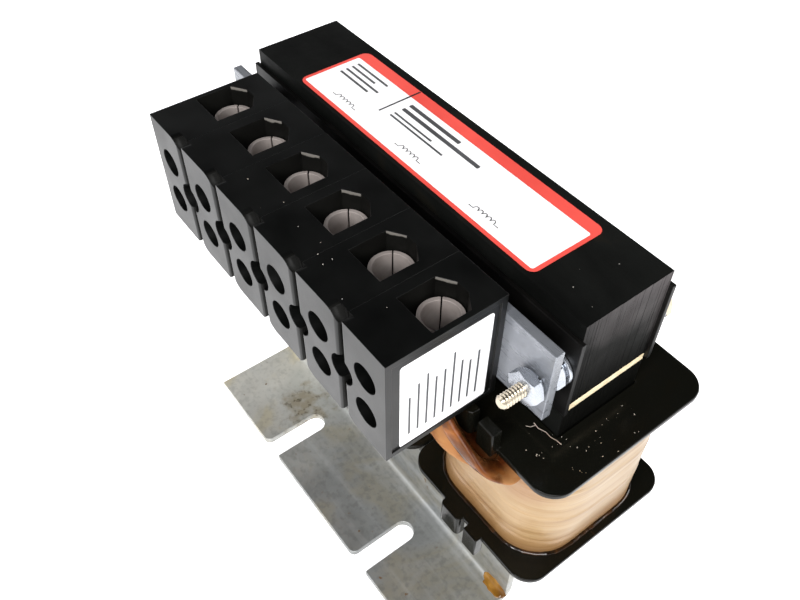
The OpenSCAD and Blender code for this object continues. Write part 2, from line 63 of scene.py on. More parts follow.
# %% [markdown]
# ## Camera
# The viewpoint was found by fitting a pinhole camera to corners of the object: close, high and
# to the right of the front. A camera in Blender looks along its own -Z, so the view direction
# becomes a rotation with `to_track_quat`, and the small roll is turned in afterwards.

# %% Camera at the fitted viewpoint
look = Vector((-0.52937, 0.40557, -0.74517))
eye = bpy.data.cameras.new("eye")
eye.sensor_width = 36.0
eye.lens = 36.70
eye.clip_start = 0.01
eye_holder = bpy.data.objects.new("eye", eye)
eye_holder.location = (0.123215, -0.105554, 0.254903)
eye_holder.rotation_mode = "QUATERNION"
roll = Quaternion((0, 0, 1), math.radians(0.474))
eye_holder.rotation_quaternion = look.to_track_quat("-Z", "Y") @ roll
scene.collection.objects.link(eye_holder)
scene.camera = eye_holder
print("camera", eye.lens, "mm lens")

# %% [markdown]
# ## Floor and light
# The object stands on an overexposed white sweep. The sheen on its front comes from that bright
# floor, while its black tops stay dark because the ceiling is dim. So the floor glows a little by
# itself, the sky is bright at the horizon and dim overhead, and large soft lamps do the rest.

# %% White floor
scene.view_settings.view_transform = "Standard"
scene.view_settings.look = "None"

floor_paint = bpy.data.materials.new("floor_paint")
floor_paint.use_nodes = True
floor_shader = floor_paint.node_tree.nodes["Principled BSDF"]
floor_shader.inputs["Base Color"].default_value = (0.86, 0.86, 0.87, 1)
floor_shader.inputs["Roughness"].default_value = 0.9
floor_shader.inputs["Emission Color"].default_value = (1, 1, 1, 1)
floor_shader.inputs["Emission Strength"].default_value = 0.75

work = bmesh.new()
bmesh.ops.create_grid(work, x_segments=1, y_segments=1, size=6.0)
bmesh.ops.translate(work, verts=work.verts, vec=(0, 0, -0.0002))
floor_mesh = bpy.data.meshes.new("floor")
work.to_mesh(floor_mesh)
work.free()
floor_mesh.materials.append(floor_paint)
floor = bpy.data.objects.new("floor", floor_mesh)
scene.collection.objects.link(floor)
print("white floor")

# %% Sky: bright at the horizon, dim overhead
sky = bpy.data.worlds.new("sky")
scene.world = sky
sky.use_nodes = True
sky_nodes, sky_links = sky.node_tree.nodes, sky.node_tree.links
sky_place = sky_nodes.new("ShaderNodeTexCoord")
sky_height = sky_nodes.new("ShaderNodeSeparateXYZ")
sky_ramp = sky_nodes.new("ShaderNodeValToRGB")
sky_stops = ((0.18, (0.95, 0.95, 0.97, 1)), (0.48, (0.035, 0.035, 0.037, 1)))
for step, (position, colour) in zip(sky_ramp.color_ramp.elements, sky_stops):
    step.position = position
    step.color = colour
sky_links.new(sky_place.outputs["Generated"], sky_height.inputs[0])
sky_links.new(sky_height.outputs["Z"], sky_ramp.inputs[0])
sky_links.new(sky_ramp.outputs[0], sky_nodes["Background"].inputs["Color"])
print("sky with", len(sky_stops), "tones")


# %% Soft lamps
MIDDLE = Vector((0, 0, 0.07))


def soft_lamp(name, place, watts, size):
    """A square lamp that looks at the middle of the object."""
    lamp = bpy.data.lights.new(name, "AREA")
    lamp.energy = watts
    lamp.size = size
    holder = bpy.data.objects.new(name, lamp)
    holder.location = place
    holder.rotation_mode = "QUATERNION"
    holder.rotation_quaternion = (MIDDLE - Vector(place)).to_track_quat("-Z", "Y")
    scene.collection.objects.link(holder)


soft_lamp("lamp_right", (0.75, -0.55, 0.85), 15, 0.7)
soft_lamp("lamp_above_camera", (0.25, -0.85, 0.78), 10, 0.35)
soft_lamp("lamp_back", (0.75, 0.85, 0.6), 7, 0.6)

# %% [markdown]
# ## A small kit for finishes
# A finish is a material made of nodes. Each one reads Object coordinates in metres, so a noise
# of scale 400 has spots of about 2.5 mm. The class below only shortens the wiring: most methods
# add one node and hand back its output. Values that are the same all over go straight to the
# shader's sockets.


# %% Helper: one node with its inputs
def feed(tree, socket, value):
    """Link a socket to another one, or set its value."""
    if isinstance(value, bpy.types.NodeSocket):
        tree.links.new(value, socket)
    else:
        socket.default_value = value


def add_node(tree, kind, inputs, **settings):
    """One node with its settings and its inputs, which go by name or number."""
    node = tree.nodes.new(kind)
    for setting, value in settings.items():
        setattr(node, setting, value)
    for key, value in inputs.items():
        feed(tree, node.inputs[key], value)
    return node


print("node helper ready")


# %% Finish: a material under construction
class Finish:
    def __init__(self, name, constants):
        self.material = bpy.data.materials.new(name)
        self.material.use_nodes = True
        self.tree = self.material.node_tree
        self.shader = self.tree.nodes["Principled BSDF"]
        for socket, value in constants.items():
            self.shader.inputs[socket].default_value = value
        self.place = self.node("ShaderNodeTexCoord", {}).outputs["Object"]

    def node(self, kind, inputs, **settings):
        return add_node(self.tree, kind, inputs, **settings)

    def noise(self, scale, detail=3.0, where=None, warp=0.0):
        inputs = {"Vector": where or self.place, "Scale": scale, "Detail": detail, "Distortion": warp}
        return self.node("ShaderNodeTexNoise", inputs).outputs["Fac"]

    def stretched(self, x, y, z):
        return self.node("ShaderNodeMapping", {"Vector": self.place, "Scale": (x, y, z)}).outputs["Vector"]

    def part_of(self, vector, axis):
        return self.node("ShaderNodeSeparateXYZ", {0: vector}).outputs[axis]

    def looks(self, axis):
        """How squarely the face looks along an axis, from -1 to 1."""
        return self.part_of(self.node("ShaderNodeNewGeometry", {}).outputs["Normal"], axis)

    def along(self, axis):
        """The point's own x, y or z in millimetres."""
        return self.math("MULTIPLY", self.part_of(self.place, axis), 1 / MM)

    def away_from(self, point_mm):
        """The distance from one spot on the object, in millimetres."""
        spot = [v * MM for v in point_mm]
        far = self.node("ShaderNodeVectorMath", {0: self.place, 1: spot}, operation="DISTANCE")
        return self.math("MULTIPLY", far.outputs["Value"], 1 / MM)

    def math(self, operation, *values):
        return self.node("ShaderNodeMath", dict(enumerate(values)), operation=operation).outputs[0]

    def plus(self, first, second):
        return self.math("ADD", first, second)

    def times(self, product, *others):
        for other in others:
            product = self.math("MULTIPLY", product, other)
        return product

    def between(self, value, low, high, to_low=0.0, to_high=1.0):
        """Where the value lies between low and high, told as a number between to_low and to_high."""
        inputs = {"Value": value, "From Min": low, "From Max": high, "To Min": to_low, "To Max": to_high}
        return self.node("ShaderNodeMapRange", inputs).outputs[0]

    def spread(self, cloud, low, high):
        """Noise seldom leaves 0.3 to 0.7, so this stretch becomes low to high."""
        return self.between(cloud, 0.3, 0.7, low, high)

    def ramp(self, factor, *stops):
        node = self.node("ShaderNodeValToRGB", {0: factor})
        steps = node.color_ramp.elements
        while len(steps) < len(stops):
            steps.new(1.0)
        for step, (position, colour) in zip(steps, stops):
            step.position = position
            step.color = (*colour, 1)
        return node.outputs[0]

    def tones(self, cloud, low, high):
        """Two colours at the usual ends of a noise."""
        return self.ramp(cloud, (0.3, low), (0.7, high))

    def blend(self, factor, *colours):
        """A mix of two colours, each a socket or three numbers."""
        low, high = (c if isinstance(c, bpy.types.NodeSocket) else (*c, 1) for c in colours)
        return self.node("ShaderNodeMix", {0: factor, 6: low, 7: high}, data_type="RGBA").outputs[2]

    def bump(self, height, strength, depth_mm):
        inputs = {"Height": height, "Strength": strength, "Distance": depth_mm * MM}
        feed(self.tree, self.shader.inputs["Normal"], self.node("ShaderNodeBump", inputs).outputs[0])

    def paint(self, colour, roughness):
        feed(self.tree, self.shader.inputs["Base Color"], colour)
        feed(self.tree, self.shader.inputs["Roughness"], roughness)
        return self.material


print("finish kit ready")

# %% [markdown]
# ## Black finishes
# Several blacks meet here and none is the same: satin moulded plastic on the terminal block, a duller
# one in its wells with a painted highlight on one side of the rim, glossy bobbins with runs of amber
# varnish, matte dipped varnish on the steel with painted light and shade on the end faces of the core,
# and satin paint on the clamp plates. Their roughness varies in soft clouds, as it does on a real surface.

# %% Black plastics, bobbin gloss, core varnish and clamp paint
f = Finish("block_plastic", {"Specular IOR Level": 0.29})
cloud = f.noise(90, 4)
f.bump(f.noise(3200, 2), 0.25, 0.03)
block_plastic = f.paint(f.tones(cloud, (0.0012, 0.0013, 0.0012), (0.0028, 0.0030, 0.0028)),
                        f.spread(cloud, 0.28, 0.38))

f = Finish("well_plastic", {"Specular IOR Level": 0.12})
cloud = f.noise(110, 4)
# Painted highlight: the top of the rim is pale where the wall looks towards +X and -Y, in the wells only,
# not in the grooves.
rim = f.between(f.plus(f.along("Z"), f.spread(f.noise(500, 4), -0.25, 0.25)), 133.3, 133.6)
front_right = f.times(f.between(f.looks("X"), 0.30, 0.40), f.between(f.looks("Y"), -0.30, -0.40))
painted_rim_highlight = f.times(rim, front_right, f.between(f.along("Y"), -44, -43))
dull = f.tones(cloud, (0.0016, 0.0016, 0.0013), (0.0034, 0.0034, 0.0028))
f.bump(f.noise(2400, 2), 0.3, 0.04)
well_plastic = f.paint(f.blend(painted_rim_highlight, dull, (0.135, 0.125, 0.112)), f.spread(cloud, 0.50, 0.62))

f = Finish("bobbin_gloss", {"Specular IOR Level": 0.13})
runs = f.ramp(f.noise(55, 5, f.stretched(1, 1, 2.2), 0.8),
              (0.50, (0.0036, 0.0036, 0.0026)), (0.69, (0.0042, 0.0036, 0.0022)),
              (0.73, (0.030, 0.013, 0.003)), (0.77, (0.004, 0.003, 0.0018)))
f.bump(f.noise(420, 3), 0.18, 0.12)
bobbin_gloss = f.paint(runs, f.spread(f.noise(150, 4), 0.10, 0.26))

f = Finish("core_varnish", {"Specular IOR Level": 0.06})
stain = f.noise(42, 6, None, 0.6)
top_colour = f.ramp(stain, (0.35, (0.0026, 0.0028, 0.0026)), (0.62, (0.0058, 0.0062, 0.0056)),
                    (0.78, (0.016, 0.012, 0.007)))
# End faces of the sheets: lit and shaded copies of one steel tone. Painted light makes them lighter high up
# and towards the back, and painted shade makes them nearly black lower down.
lit_end_steel = f.tones(f.noise(60, 5, f.stretched(1, 1, 0.5)), (0.042, 0.037, 0.038), (0.088, 0.079, 0.079))
climb = f.plus(f.along("Z"), f.times(f.along("Y"), 0.6))
painted_end_light = f.between(f.plus(climb, f.spread(f.noise(80, 4), -4, 4)), 116, 138)
end_colour = f.blend(painted_end_light, (0.0022, 0.0022, 0.0018), lit_end_steel)
at_end = f.between(f.math("ABSOLUTE", f.looks("X")), 0.6, 0.8)
f.bump(f.noise(900, 4), 0.35, 0.06)
core_varnish = f.paint(f.blend(at_end, top_colour, end_colour), f.spread(f.noise(120, 5), 0.40, 0.60))

f = Finish("clamp_paint", {"Specular IOR Level": 0.2})
patch = f.noise(70, 5)
f.bump(f.noise(1500, 3), 0.3, 0.04)
clamp_paint = f.paint(f.ramp(patch, (0.35, (0.0015, 0.0015, 0.0015)), (0.7, (0.005, 0.0045, 0.004))),
                      f.spread(patch, 0.34, 0.5))
print("five black finishes")

# %% [markdown]
# ## Zinc finishes
# The foot brackets are dull grey zinc with a fine grain, a slow olive drift, a brown spill by one
# slot and a painted highlight along the bend. The terminal bracket is smoother and bluish, the bolts
# brassy, the nuts bright. Metal shows mostly what it reflects, so its look is roughness and a slow colour
# drift.

# %% Zinc, dull and bright
SPILL_SPOT = (-35.5, -28.0, 2.6)
f = Finish("foot_zinc", {"Metallic": 0.4})
drift = f.noise(38, 5, None, 0.7)
near = f.ramp(drift, (0.30, (0.160, 0.167, 0.163)), (0.45, (0.205, 0.212, 0.209)),
              (0.57, (0.220, 0.211, 0.176)), (0.70, (0.255, 0.262, 0.260)))
far = f.ramp(drift, (0.30, (0.47, 0.475, 0.445)), (0.50, (0.59, 0.58, 0.53)),
             (0.60, (0.57, 0.52, 0.38)), (0.70, (0.63, 0.625, 0.59)))
reach = f.between(f.plus(f.along("X"), f.spread(f.noise(30, 4), -12, 12)), -12, -64)
grain = f.noise(620, 6)
rolled = f.noise(190, 4, f.stretched(0.06, 1, 1))
pit = f.blend(reach, (0.105, 0.110, 0.106), (0.34, 0.34, 0.31))
base = f.blend(f.between(grain, 0.48, 0.66, 0, 0.40), f.blend(reach, near, far), pit)
base = f.blend(f.between(rolled, 0.52, 0.70, 0, 0.30), base, (0.44, 0.45, 0.45))
spill = f.plus(f.away_from(SPILL_SPOT), f.spread(f.noise(260, 5), -6, 6))
base = f.blend(f.between(spill, 10, 2, 0, 0.6), base, (0.200, 0.155, 0.075))
crust = f.times(f.between(grain, 0.55, 0.64), f.between(spill, 9, 3, 0, 0.7))
base = f.blend(crust, base, (0.075, 0.060, 0.036))
speck = f.between(f.noise(330, 4), 0.70, 0.75)
base = f.blend(speck, base, (0.14, 0.080, 0.035))
# Painted highlight along the bend: lighter zinc in streaks on the faces that look half up, half sideways.
upright = f.math("ABSOLUTE", f.looks("Z"))
streaks = f.between(f.noise(60, 5, f.stretched(1, 0.2, 0.2)), 0.35, 0.65, 0.12, 0.50)
painted_bend_highlight = f.times(f.between(upright, 0.45, 0.65), f.between(upright, 0.90, 0.72), streaks)
base = f.blend(painted_bend_highlight, base, (0.50, 0.51, 0.51))
f.bump(grain, 0.20, 0.05)
foot_zinc = f.paint(base, f.spread(f.noise(170, 5), 0.36, 0.56))


def plated(name, metal, low, high, rough_low, rough_high, grain):
    """Plating with a fine drawn grain along X."""
    made = Finish(name, {"Metallic": metal})
    drawn = made.noise(grain, 4, made.stretched(0.15, 1, 1))
    made.bump(drawn, 0.16, 0.03)
    return made.paint(made.tones(made.noise(130, 4), low, high), made.spread(drawn, rough_low, rough_high))


bracket_zinc = plated("bracket_zinc", 0.5, (0.165, 0.175, 0.195), (0.255, 0.267, 0.292), 0.24, 0.36, 900)
hardware_zinc = plated("hardware_zinc", 0.85, (0.36, 0.384, 0.425), (0.52, 0.544, 0.585), 0.20, 0.32, 1400)
bolt_zinc = plated("bolt_zinc", 1.0, (0.47, 0.41, 0.31), (0.64, 0.575, 0.465), 0.20, 0.34, 1600)
screw_zinc = plated("screw_zinc", 0.9, (0.36, 0.38, 0.41), (0.50, 0.52, 0.55), 0.30, 0.46, 1500)
sleeve_tin = plated("sleeve_tin", 0.25, (0.24, 0.205, 0.19), (0.35, 0.31, 0.29), 0.46, 0.66, 700)
print("six metal finishes")

# %% [markdown]
# ## Tape, board, copper and varnish
# The windings are wrapped in cream tape whose fibres run round the coil, stained by varnish by the
# leads and darker at the bottom and towards one side: varnish stain mixed with painted shade. Noise
# that is squeezed along Z makes such horizontal fibres on every side of the coil, with no seam,
# because it only needs the point's place in space.

# %% Winding tape, gap board and copper
def from_coil_middle(made):
    """The distance along x from the middle of the nearest coil, in mm, minus on its left."""
    return made.math("WRAP", made.along("X"), COIL_STEP / 2, -COIL_STEP / 2)


f = Finish("winding_tape", {"Specular IOR Level": 0.4, "Coat Weight": 0.2, "Coat Roughness": 0.2})
fibre = f.noise(24, 5, f.stretched(1, 1, 26), 0.5)
band = f.noise(13, 4, f.stretched(1, 1, 4), 0.4)
weft = f.noise(900, 2, f.stretched(1, 1, 0.05))
blot = f.spread(f.noise(45, 4), -4, 4)
height = f.plus(f.along("Z"), blot)
# Darker, more orange tape at the bottom and towards the -X side of each coil: varnish stain mixed with
# painted shade.
bottom_stain_and_shade = f.between(height, 45, 58, 0.65, 0)
far_side_stain_and_shade = f.between(f.plus(from_coil_middle(f), blot), -18, 7, 0.6, 0)
near_lead = f.times(f.between(height, 70, 84, 0, 0.8), f.between(f.along("Y"), -15, -22))
cream = f.ramp(fibre, (0.28, (0.170, 0.088, 0.029)), (0.42, (0.262, 0.165, 0.068)),
               (0.58, (0.312, 0.212, 0.102)), (0.74, (0.225, 0.130, 0.048)))
tone = f.blend(f.between(band, 0.46, 0.68, 0, 0.5), cream, (0.215, 0.104, 0.033))
tone = f.blend(far_side_stain_and_shade, tone, (0.195, 0.085, 0.024))
tone = f.blend(bottom_stain_and_shade, tone, (0.125, 0.052, 0.013))
tone = f.blend(near_lead, tone, (0.17, 0.060, 0.013))
f.bump(f.plus(fibre, f.times(weft, 0.35)), 0.4, 0.12)
winding_tape = f.paint(tone, f.spread(band, 0.30, 0.50))

f = Finish("gap_board", {"Specular IOR Level": 0.3})
straw = f.noise(300, 5, f.stretched(0.3, 1, 1))
f.bump(straw, 0.4, 0.08)
gap_board = f.paint(f.tones(straw, (0.50, 0.40, 0.24), (0.72, 0.62, 0.43)), f.spread(straw, 0.6, 0.85))

f = Finish("coil_copper", {"Metallic": 0.85})
turns = f.noise(40, 2, f.stretched(0.05, 0.05, 18))
f.bump(turns, 0.6, 0.3)
coil_copper = f.paint(f.ramp(turns, (0.35, (0.30, 0.11, 0.04)), (0.65, (0.62, 0.30, 0.14))),
                      f.spread(turns, 0.25, 0.4))
print("tape, board and copper")

# %% [markdown]
# ## Varnish and soaked tape
# Varnish is dark where it pools and light where it thins, so one noise gives both its colour and
# its gloss. The tape on the leads has soaked it up: it is tan and dull where it lies on the winding,
# and dark red-brown and shiny where the varnish hangs in it. The same dark red-brown is also painted
# shade on the faces that look up under the flange and on the front of the bundles.


# %% Varnish in three tones, and tape soaked with it
def varnish(name, dark, middle, light, smooth):
    made = Finish(name, {"Specular IOR Level": 0.4, "Coat Weight": 0.15, "Coat Roughness": 0.05})
    pool = made.noise(170, 5, None, 0.6)
    made.bump(made.noise(380, 3), 0.35, 0.3)
    return made.paint(made.ramp(pool, (0.32, dark), (0.50, middle), (0.68, light)),
                      made.spread(pool, smooth, smooth + 0.14))


amber_varnish = varnish("amber_varnish", (0.075, 0.030, 0.004), (0.17, 0.075, 0.010),
                        (0.30, 0.155, 0.032), 0.10)
dark_varnish = varnish("dark_varnish", (0.003, 0.0016, 0.001), (0.008, 0.004, 0.0015),
                       (0.035, 0.014, 0.004), 0.03)
pale_varnish = varnish("pale_varnish", (0.20, 0.15, 0.11), (0.38, 0.31, 0.26), (0.58, 0.52, 0.47), 0.15)


def soaked(name, smooth, soak_and_shade):
    """The last argument is a function of the finish and a noise. It says, from 0 to 1, where the varnish
    hangs and where painted shade lies, both dark red-brown.
    """
    made = Finish(name, {"Specular IOR Level": 0.13, "Coat Weight": 0.02, "Coat Roughness": 0.05})
    pool = made.noise(170, 5, None, 0.6)
    tan = made.ramp(pool, (0.32, (0.20, 0.078, 0.024)), (0.50, (0.25, 0.108, 0.036)),
                    (0.68, (0.32, 0.155, 0.058)))
    red = made.ramp(pool, (0.32, (0.022, 0.005, 0.002)), (0.52, (0.070, 0.017, 0.004)),
                    (0.70, (0.20, 0.060, 0.012)))
    made.bump(made.noise(400, 4, made.stretched(1, 0.5, 0.5)), 0.55, 0.25)
    dark_red = soak_and_shade(made, pool)
    dullness = made.times(made.spread(pool, 0.62, 0.46), made.between(dark_red, 0.0, 0.7, 1, 0))
    return made.paint(made.blend(dark_red, tan, red), made.plus(dullness, smooth))


def near_middle(made, pool, dry, dark_red):
    """1 near the middle plane of each coil, 0 towards its corners. The last two arguments are distances in
    mm, where it is 0 and where it is 1.
    """
    sideways = made.math("ABSOLUTE", from_coil_middle(made))
    return made.between(made.plus(sideways, made.spread(pool, 1.2, -1.2)), dry, dark_red)


def facing_up(made, pool, low, high):
    return made.between(made.plus(made.looks("Z"), made.spread(pool, -0.25, 0.25)), low, high)


# Dark red-brown on high faces that look up, near the middle of each coil: varnish in the tape and painted
# shade under the flange.
def soak_and_shade_above(made, pool):
    high_up = made.between(made.plus(made.along("Z"), made.spread(pool, -3, 3)), 82, 88)
    return made.times(facing_up(made, pool, 0.20, 0.52), high_up, near_middle(made, pool, 10.5, 6.5))


# Dark red-brown on faces that look up near the middle of each coil and on the front of the bundle: varnish
# and painted shade.
def soak_and_shade_on_top_and_in_front(made, pool):
    top = made.times(facing_up(made, pool, 0.30, 0.80), near_middle(made, pool, 12.0, 8.5))
    front = made.between(made.plus(made.along("Y"), made.spread(pool, -2, 2)), -26.5, -30.5, 0, 0.8)
    return made.math("MAXIMUM", top, front)


soaked_tape = soaked("soaked_tape", 0.30, soak_and_shade_above)
lead_varnish = soaked("lead_varnish", 0.24, soak_and_shade_on_top_and_in_front)
print("three varnishes and two kinds of soaked tape")

# %% [markdown]
# ## Putting a mesh in the scene
# Every new piece goes through one helper: it takes the finished mesh, gives it its material, keeps
# hard corners hard, hangs it under the empty of the body that carries it and hides the solids it stands for.


# %% Helper: one finished piece
def add_piece(name, mesh, finish, slot, *stands_for, soft=38.0):
    """Corners of less than soft degrees are shaded round."""
    mesh.materials.clear()
    mesh.materials.append(finish)
    mesh.polygons.foreach_set("use_smooth", [True] * len(mesh.polygons))
    mesh.polygons.foreach_set("material_index", [0] * len(mesh.polygons))
    mesh.set_sharp_from_angle(angle=math.radians(soft))
    obj = bpy.data.objects.new(name, mesh)
    scene.collection.objects.link(obj)
    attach(obj, "root")
    if stands_for:
        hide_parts(*stands_for)
    return obj


def to_mesh(work, name):
    """Close a bmesh: merge doubles, turn faces outwards and hand back a mesh."""
    bmesh.ops.remove_doubles(work, verts=work.verts, dist=2e-7)
    bmesh.ops.recalc_face_normals(work, faces=work.faces)
    mesh = bpy.data.meshes.new(name)
    work.to_mesh(mesh)
    work.free()
    return mesh


print("piece helper ready")

# %% [markdown]
# ## Solids with broken edges
# No moulded or sheared edge is razor sharp, and the thin highlight on an edge is what makes a part
# look made. A solid's mesh arrives as loose triangles, so a copy is merged, its flat triangles are
# dissolved into whole faces, and only the real corners are bevelled. Weighted normals keep the big
# faces flat next to the round edges.


# %% Helper: a copy of a solid with broken edges
def edged(node, edge_mm, finish, slot, leave=None):
    """leave(edge) is true for corners that stay sharp."""
    work = bmesh.new()
    work.from_mesh(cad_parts[node].data)
    bmesh.ops.remove_doubles(work, verts=work.verts, dist=1e-6)
    bmesh.ops.dissolve_limit(work, angle_limit=math.radians(0.5), verts=work.verts, edges=work.edges)
    corners = [e for e in work.edges if e.is_manifold and e.calc_face_angle(0) > math.radians(32)]
    corners = [e for e in corners if not (leave and leave(e))]
    bmesh.ops.bevel(work, geom=corners, offset=edge_mm * MM, offset_type="OFFSET", segments=2, profile=0.5,
                    affect="EDGES", clamp_overlap=False)
    piece = add_piece(node + "_edged", to_mesh(work, node + "_edged"), finish, slot, node)
    even = piece.modifiers.new("even_normals", "WEIGHTED_NORMAL")
    even.keep_sharp = True
    return piece


print("edge helper ready")

# %% Solids that only need their edges broken, and the terminal poles
POLES = range(1, 7)
pole_low, pole_high = limits("terminal_pole_2")
POLE_PITCH = pole_high.x - pole_low.x
BLOCK_TOP = pole_high.z
BLOCK_HALF_X = 49.0
WELL_HALF_X = 5.7
WELL_FRONT, WELL_BACK = -40.2, -27.5
WELL_RIM = 0.4
GROOVE_FRONT, GROOVE_BACK = -52.0, -49.75
SHINY, DULL = 0, 1


def pole_x(k):
    return (k - 3.5) * POLE_PITCH


def in_groove(edge):
    """Edges on the back wall of the groove between two noses, which runs out to nothing."""
    return all(abs(v.co.y / MM - GROOVE_BACK) < 0.05 for v in edge.verts)


for k in POLES:
    pole = edged(f"terminal_pole_{k}", 0.10, block_plastic, "block_plastic", in_groove)
    pole.data.materials.append(well_plastic)
    for face in pole.data.polygons:
        x, y, z = face.center / MM
        well = abs(x - pole_x(k)) < WELL_HALF_X and WELL_FRONT < y < WELL_BACK and z < BLOCK_TOP - WELL_RIM
        groove = GROOVE_FRONT < y < GROOVE_BACK + 0.1 and face.normal.z < 0.97 and abs(x) < BLOCK_HALF_X
        face.material_index = DULL if well or groove else SHINY
    edged(f"terminal_sleeve_{k}", 0.12, sleeve_tin, "sleeve_metal")
for side in SIDES:
    edged(f"bobbin_{side}", 0.35, bobbin_gloss, "bobbin")
    edged(f"gap_shim_{side}", 0.15, gap_board, "shim")
    edged(f"coil_{side}", 0.3, coil_copper, "copper")
for where in ("upper_front", "upper_rear", "lower_front", "lower_rear"):
    edged(f"clamp_plate_{where}", 0.15, clamp_paint, "clamp_plate")
for where in ("front", "rear"):
    edged(f"foot_bracket_{where}", 0.3, foot_zinc, "foot_zinc")
edged("terminal_bracket", 0.25, bracket_zinc, "bracket_zinc")
edged("terminal_screws", 0.2, screw_zinc, "screw_zinc")
edged("block_screws", 0.15, hardware_zinc, "hardware_zinc")
edged("block_nuts", 0.15, hardware_zinc, "hardware_zinc")

# %% [markdown]
# ## Geometry Nodes: a rule that repeats
# The core is a stack of thin steel sheets, each stamped from the same outline and never quite in line
# with the next. That is a rule: one sheet, repeated along a line, with a little wander. A node tree
# states it once, with named inputs, and serves the core, the yoke and the printed rules on the
# labels. It ends in Realize Instances and Set Material, so that the result is an ordinary mesh.


# %% Node tree: repeat a shape along a line
def node_tree(name, inputs):
    """An empty tree with named inputs: hands back the tree, its inputs and its end."""
    tree = bpy.data.node_groups.new(name, "GeometryNodeTree")
    for label, kind in inputs.items():
        tree.interface.new_socket(label, in_out="INPUT", socket_type="NodeSocket" + kind)
    tree.interface.new_socket("Geometry", in_out="OUTPUT", socket_type="NodeSocketGeometry")
    return tree, tree.nodes.new("NodeGroupInput").outputs, tree.nodes.new("NodeGroupOutput").inputs[0]


def finish_tree(tree, geometry, material, end):
    """The last two nodes of every tree here."""
    real = add_node(tree, "GeometryNodeRealizeInstances", {0: geometry})
    dress = add_node(tree, "GeometryNodeSetMaterial", {"Geometry": real.outputs[0], "Material": material})
    tree.links.new(dress.outputs[0], end)


tree, given, end = node_tree("repeat_along_line", {
    "Shape": "Object", "Count": "Int", "Start": "Vector", "Step": "Vector", "Wander": "Vector",
    "Shortest": "Vector", "Seed": "Int", "Finish": "Material"})
line = add_node(tree, "GeometryNodeMeshLine", {
    "Count": given["Count"], "Start Location": given["Start"], "Offset": given["Step"]})
back = add_node(tree, "ShaderNodeVectorMath", {0: given["Wander"], "Scale": -1.0}, operation="SCALE")
drift = add_node(tree, "FunctionNodeRandomValue", {
    "Min": back.outputs[0], "Max": given["Wander"], "Seed": given["Seed"]}, data_type="FLOAT_VECTOR")
nudge = add_node(tree, "GeometryNodeSetPosition", {"Geometry": line.outputs[0], "Offset": drift.outputs[0]})
length = add_node(tree, "FunctionNodeRandomValue", {
    "Min": given["Shortest"], "Max": (1, 1, 1), "Seed": given["Seed"]}, data_type="FLOAT_VECTOR")
shape = add_node(tree, "GeometryNodeObjectInfo", {"Object": given["Shape"]})
place = add_node(tree, "GeometryNodeInstanceOnPoints", {
    "Points": nudge.outputs[0], "Instance": shape.outputs["Geometry"], "Scale": length.outputs[0]})
finish_tree(tree, place.outputs[0], given["Finish"], end)
repeat_tree = tree


def evaluated(name, data, prepare=None):
    """What an object becomes with its curve or modifiers worked out, as a plain mesh."""
    holder = bpy.data.objects.new(name, data)
    scene.collection.objects.link(holder)
    if prepare:
        prepare(holder)
    bpy.context.view_layer.update()
    mesh = bpy.data.meshes.new_from_object(holder.evaluated_get(bpy.context.evaluated_depsgraph_get()))
    bpy.data.objects.remove(holder)
    return mesh


def grown(name, tree, values, source=None):
    """Run a node tree on an empty mesh (or on a source mesh)."""
    def prepare(holder):
        modifier = holder.modifiers.new("nodes", "NODES")
        modifier.node_group = tree
        for item in tree.interface.items_tree:
            if item.in_out == "INPUT" and item.name in values:
                modifier[item.identifier] = values[item.name]

    return evaluated(name, source or bpy.data.meshes.new(name), prepare)


print("repeat tree:", len(repeat_tree.nodes), "nodes")

# %% [markdown]
# ## Lamination stacks
# One sheet is a flat filled curve with a small thickness: Blender fills the outline and leaves the
# bolt holes open by itself. The stack is 52 sheets of half a millimetre. The gaps between them are
# finer than a hair, but they catch the light at the end faces.


# %% One sheet for the yoke, one for the E core, and their stacks
UPPER_BOLTS = [(-59.8, 116.3), (59.8, 116.3)]
LOWER_BOLTS = [(-39.0, 23.5), (39.0, 23.5)]
HOLE_R, HOLE_POINTS = 1.9, 16
SHEETS, EASE = 52, 0.05
WINDOW_LOW, LEG_HALF = 45.0, 12.7
yoke_low, yoke_high = limits("core_yoke")
e_low, e_high = limits("core_e")
STACK = yoke_high.y - yoke_low.y
SHEET_STEP = STACK / SHEETS
SHEET_HALF_X = yoke_high.x - EASE


def circle(x, z, radius, count):
    angles = [math.tau * k / count for k in range(count)]
    return [(x + radius * math.cos(a), z + radius * math.sin(a)) for a in angles]


def sheet_shape(name, outline, holes):
    """A stamped sheet in the XZ plane with round holes, as a helper object."""
    curve = bpy.data.curves.new(name, "CURVE")
    curve.dimensions = "2D"
    curve.fill_mode = "BOTH"
    curve.extrude = SHEET_STEP * 0.985 / 2 * MM
    for loop in [outline] + [circle(x, z, HOLE_R, HOLE_POINTS) for x, z in holes]:
        spline = curve.splines.new("POLY")
        spline.use_cyclic_u = True
        spline.points.add(len(loop) - 1)
        for point, (x, z) in zip(spline.points, loop):
            point.co = (x * MM, z * MM, 0, 1)
    mesh = evaluated(name, curve)
    for vertex in mesh.vertices:
        x, y, z = vertex.co
        vertex.co = (x, -z, y)
    holder = bpy.data.objects.new(name, mesh)
    scene.collection.objects.link(holder)
    return holder


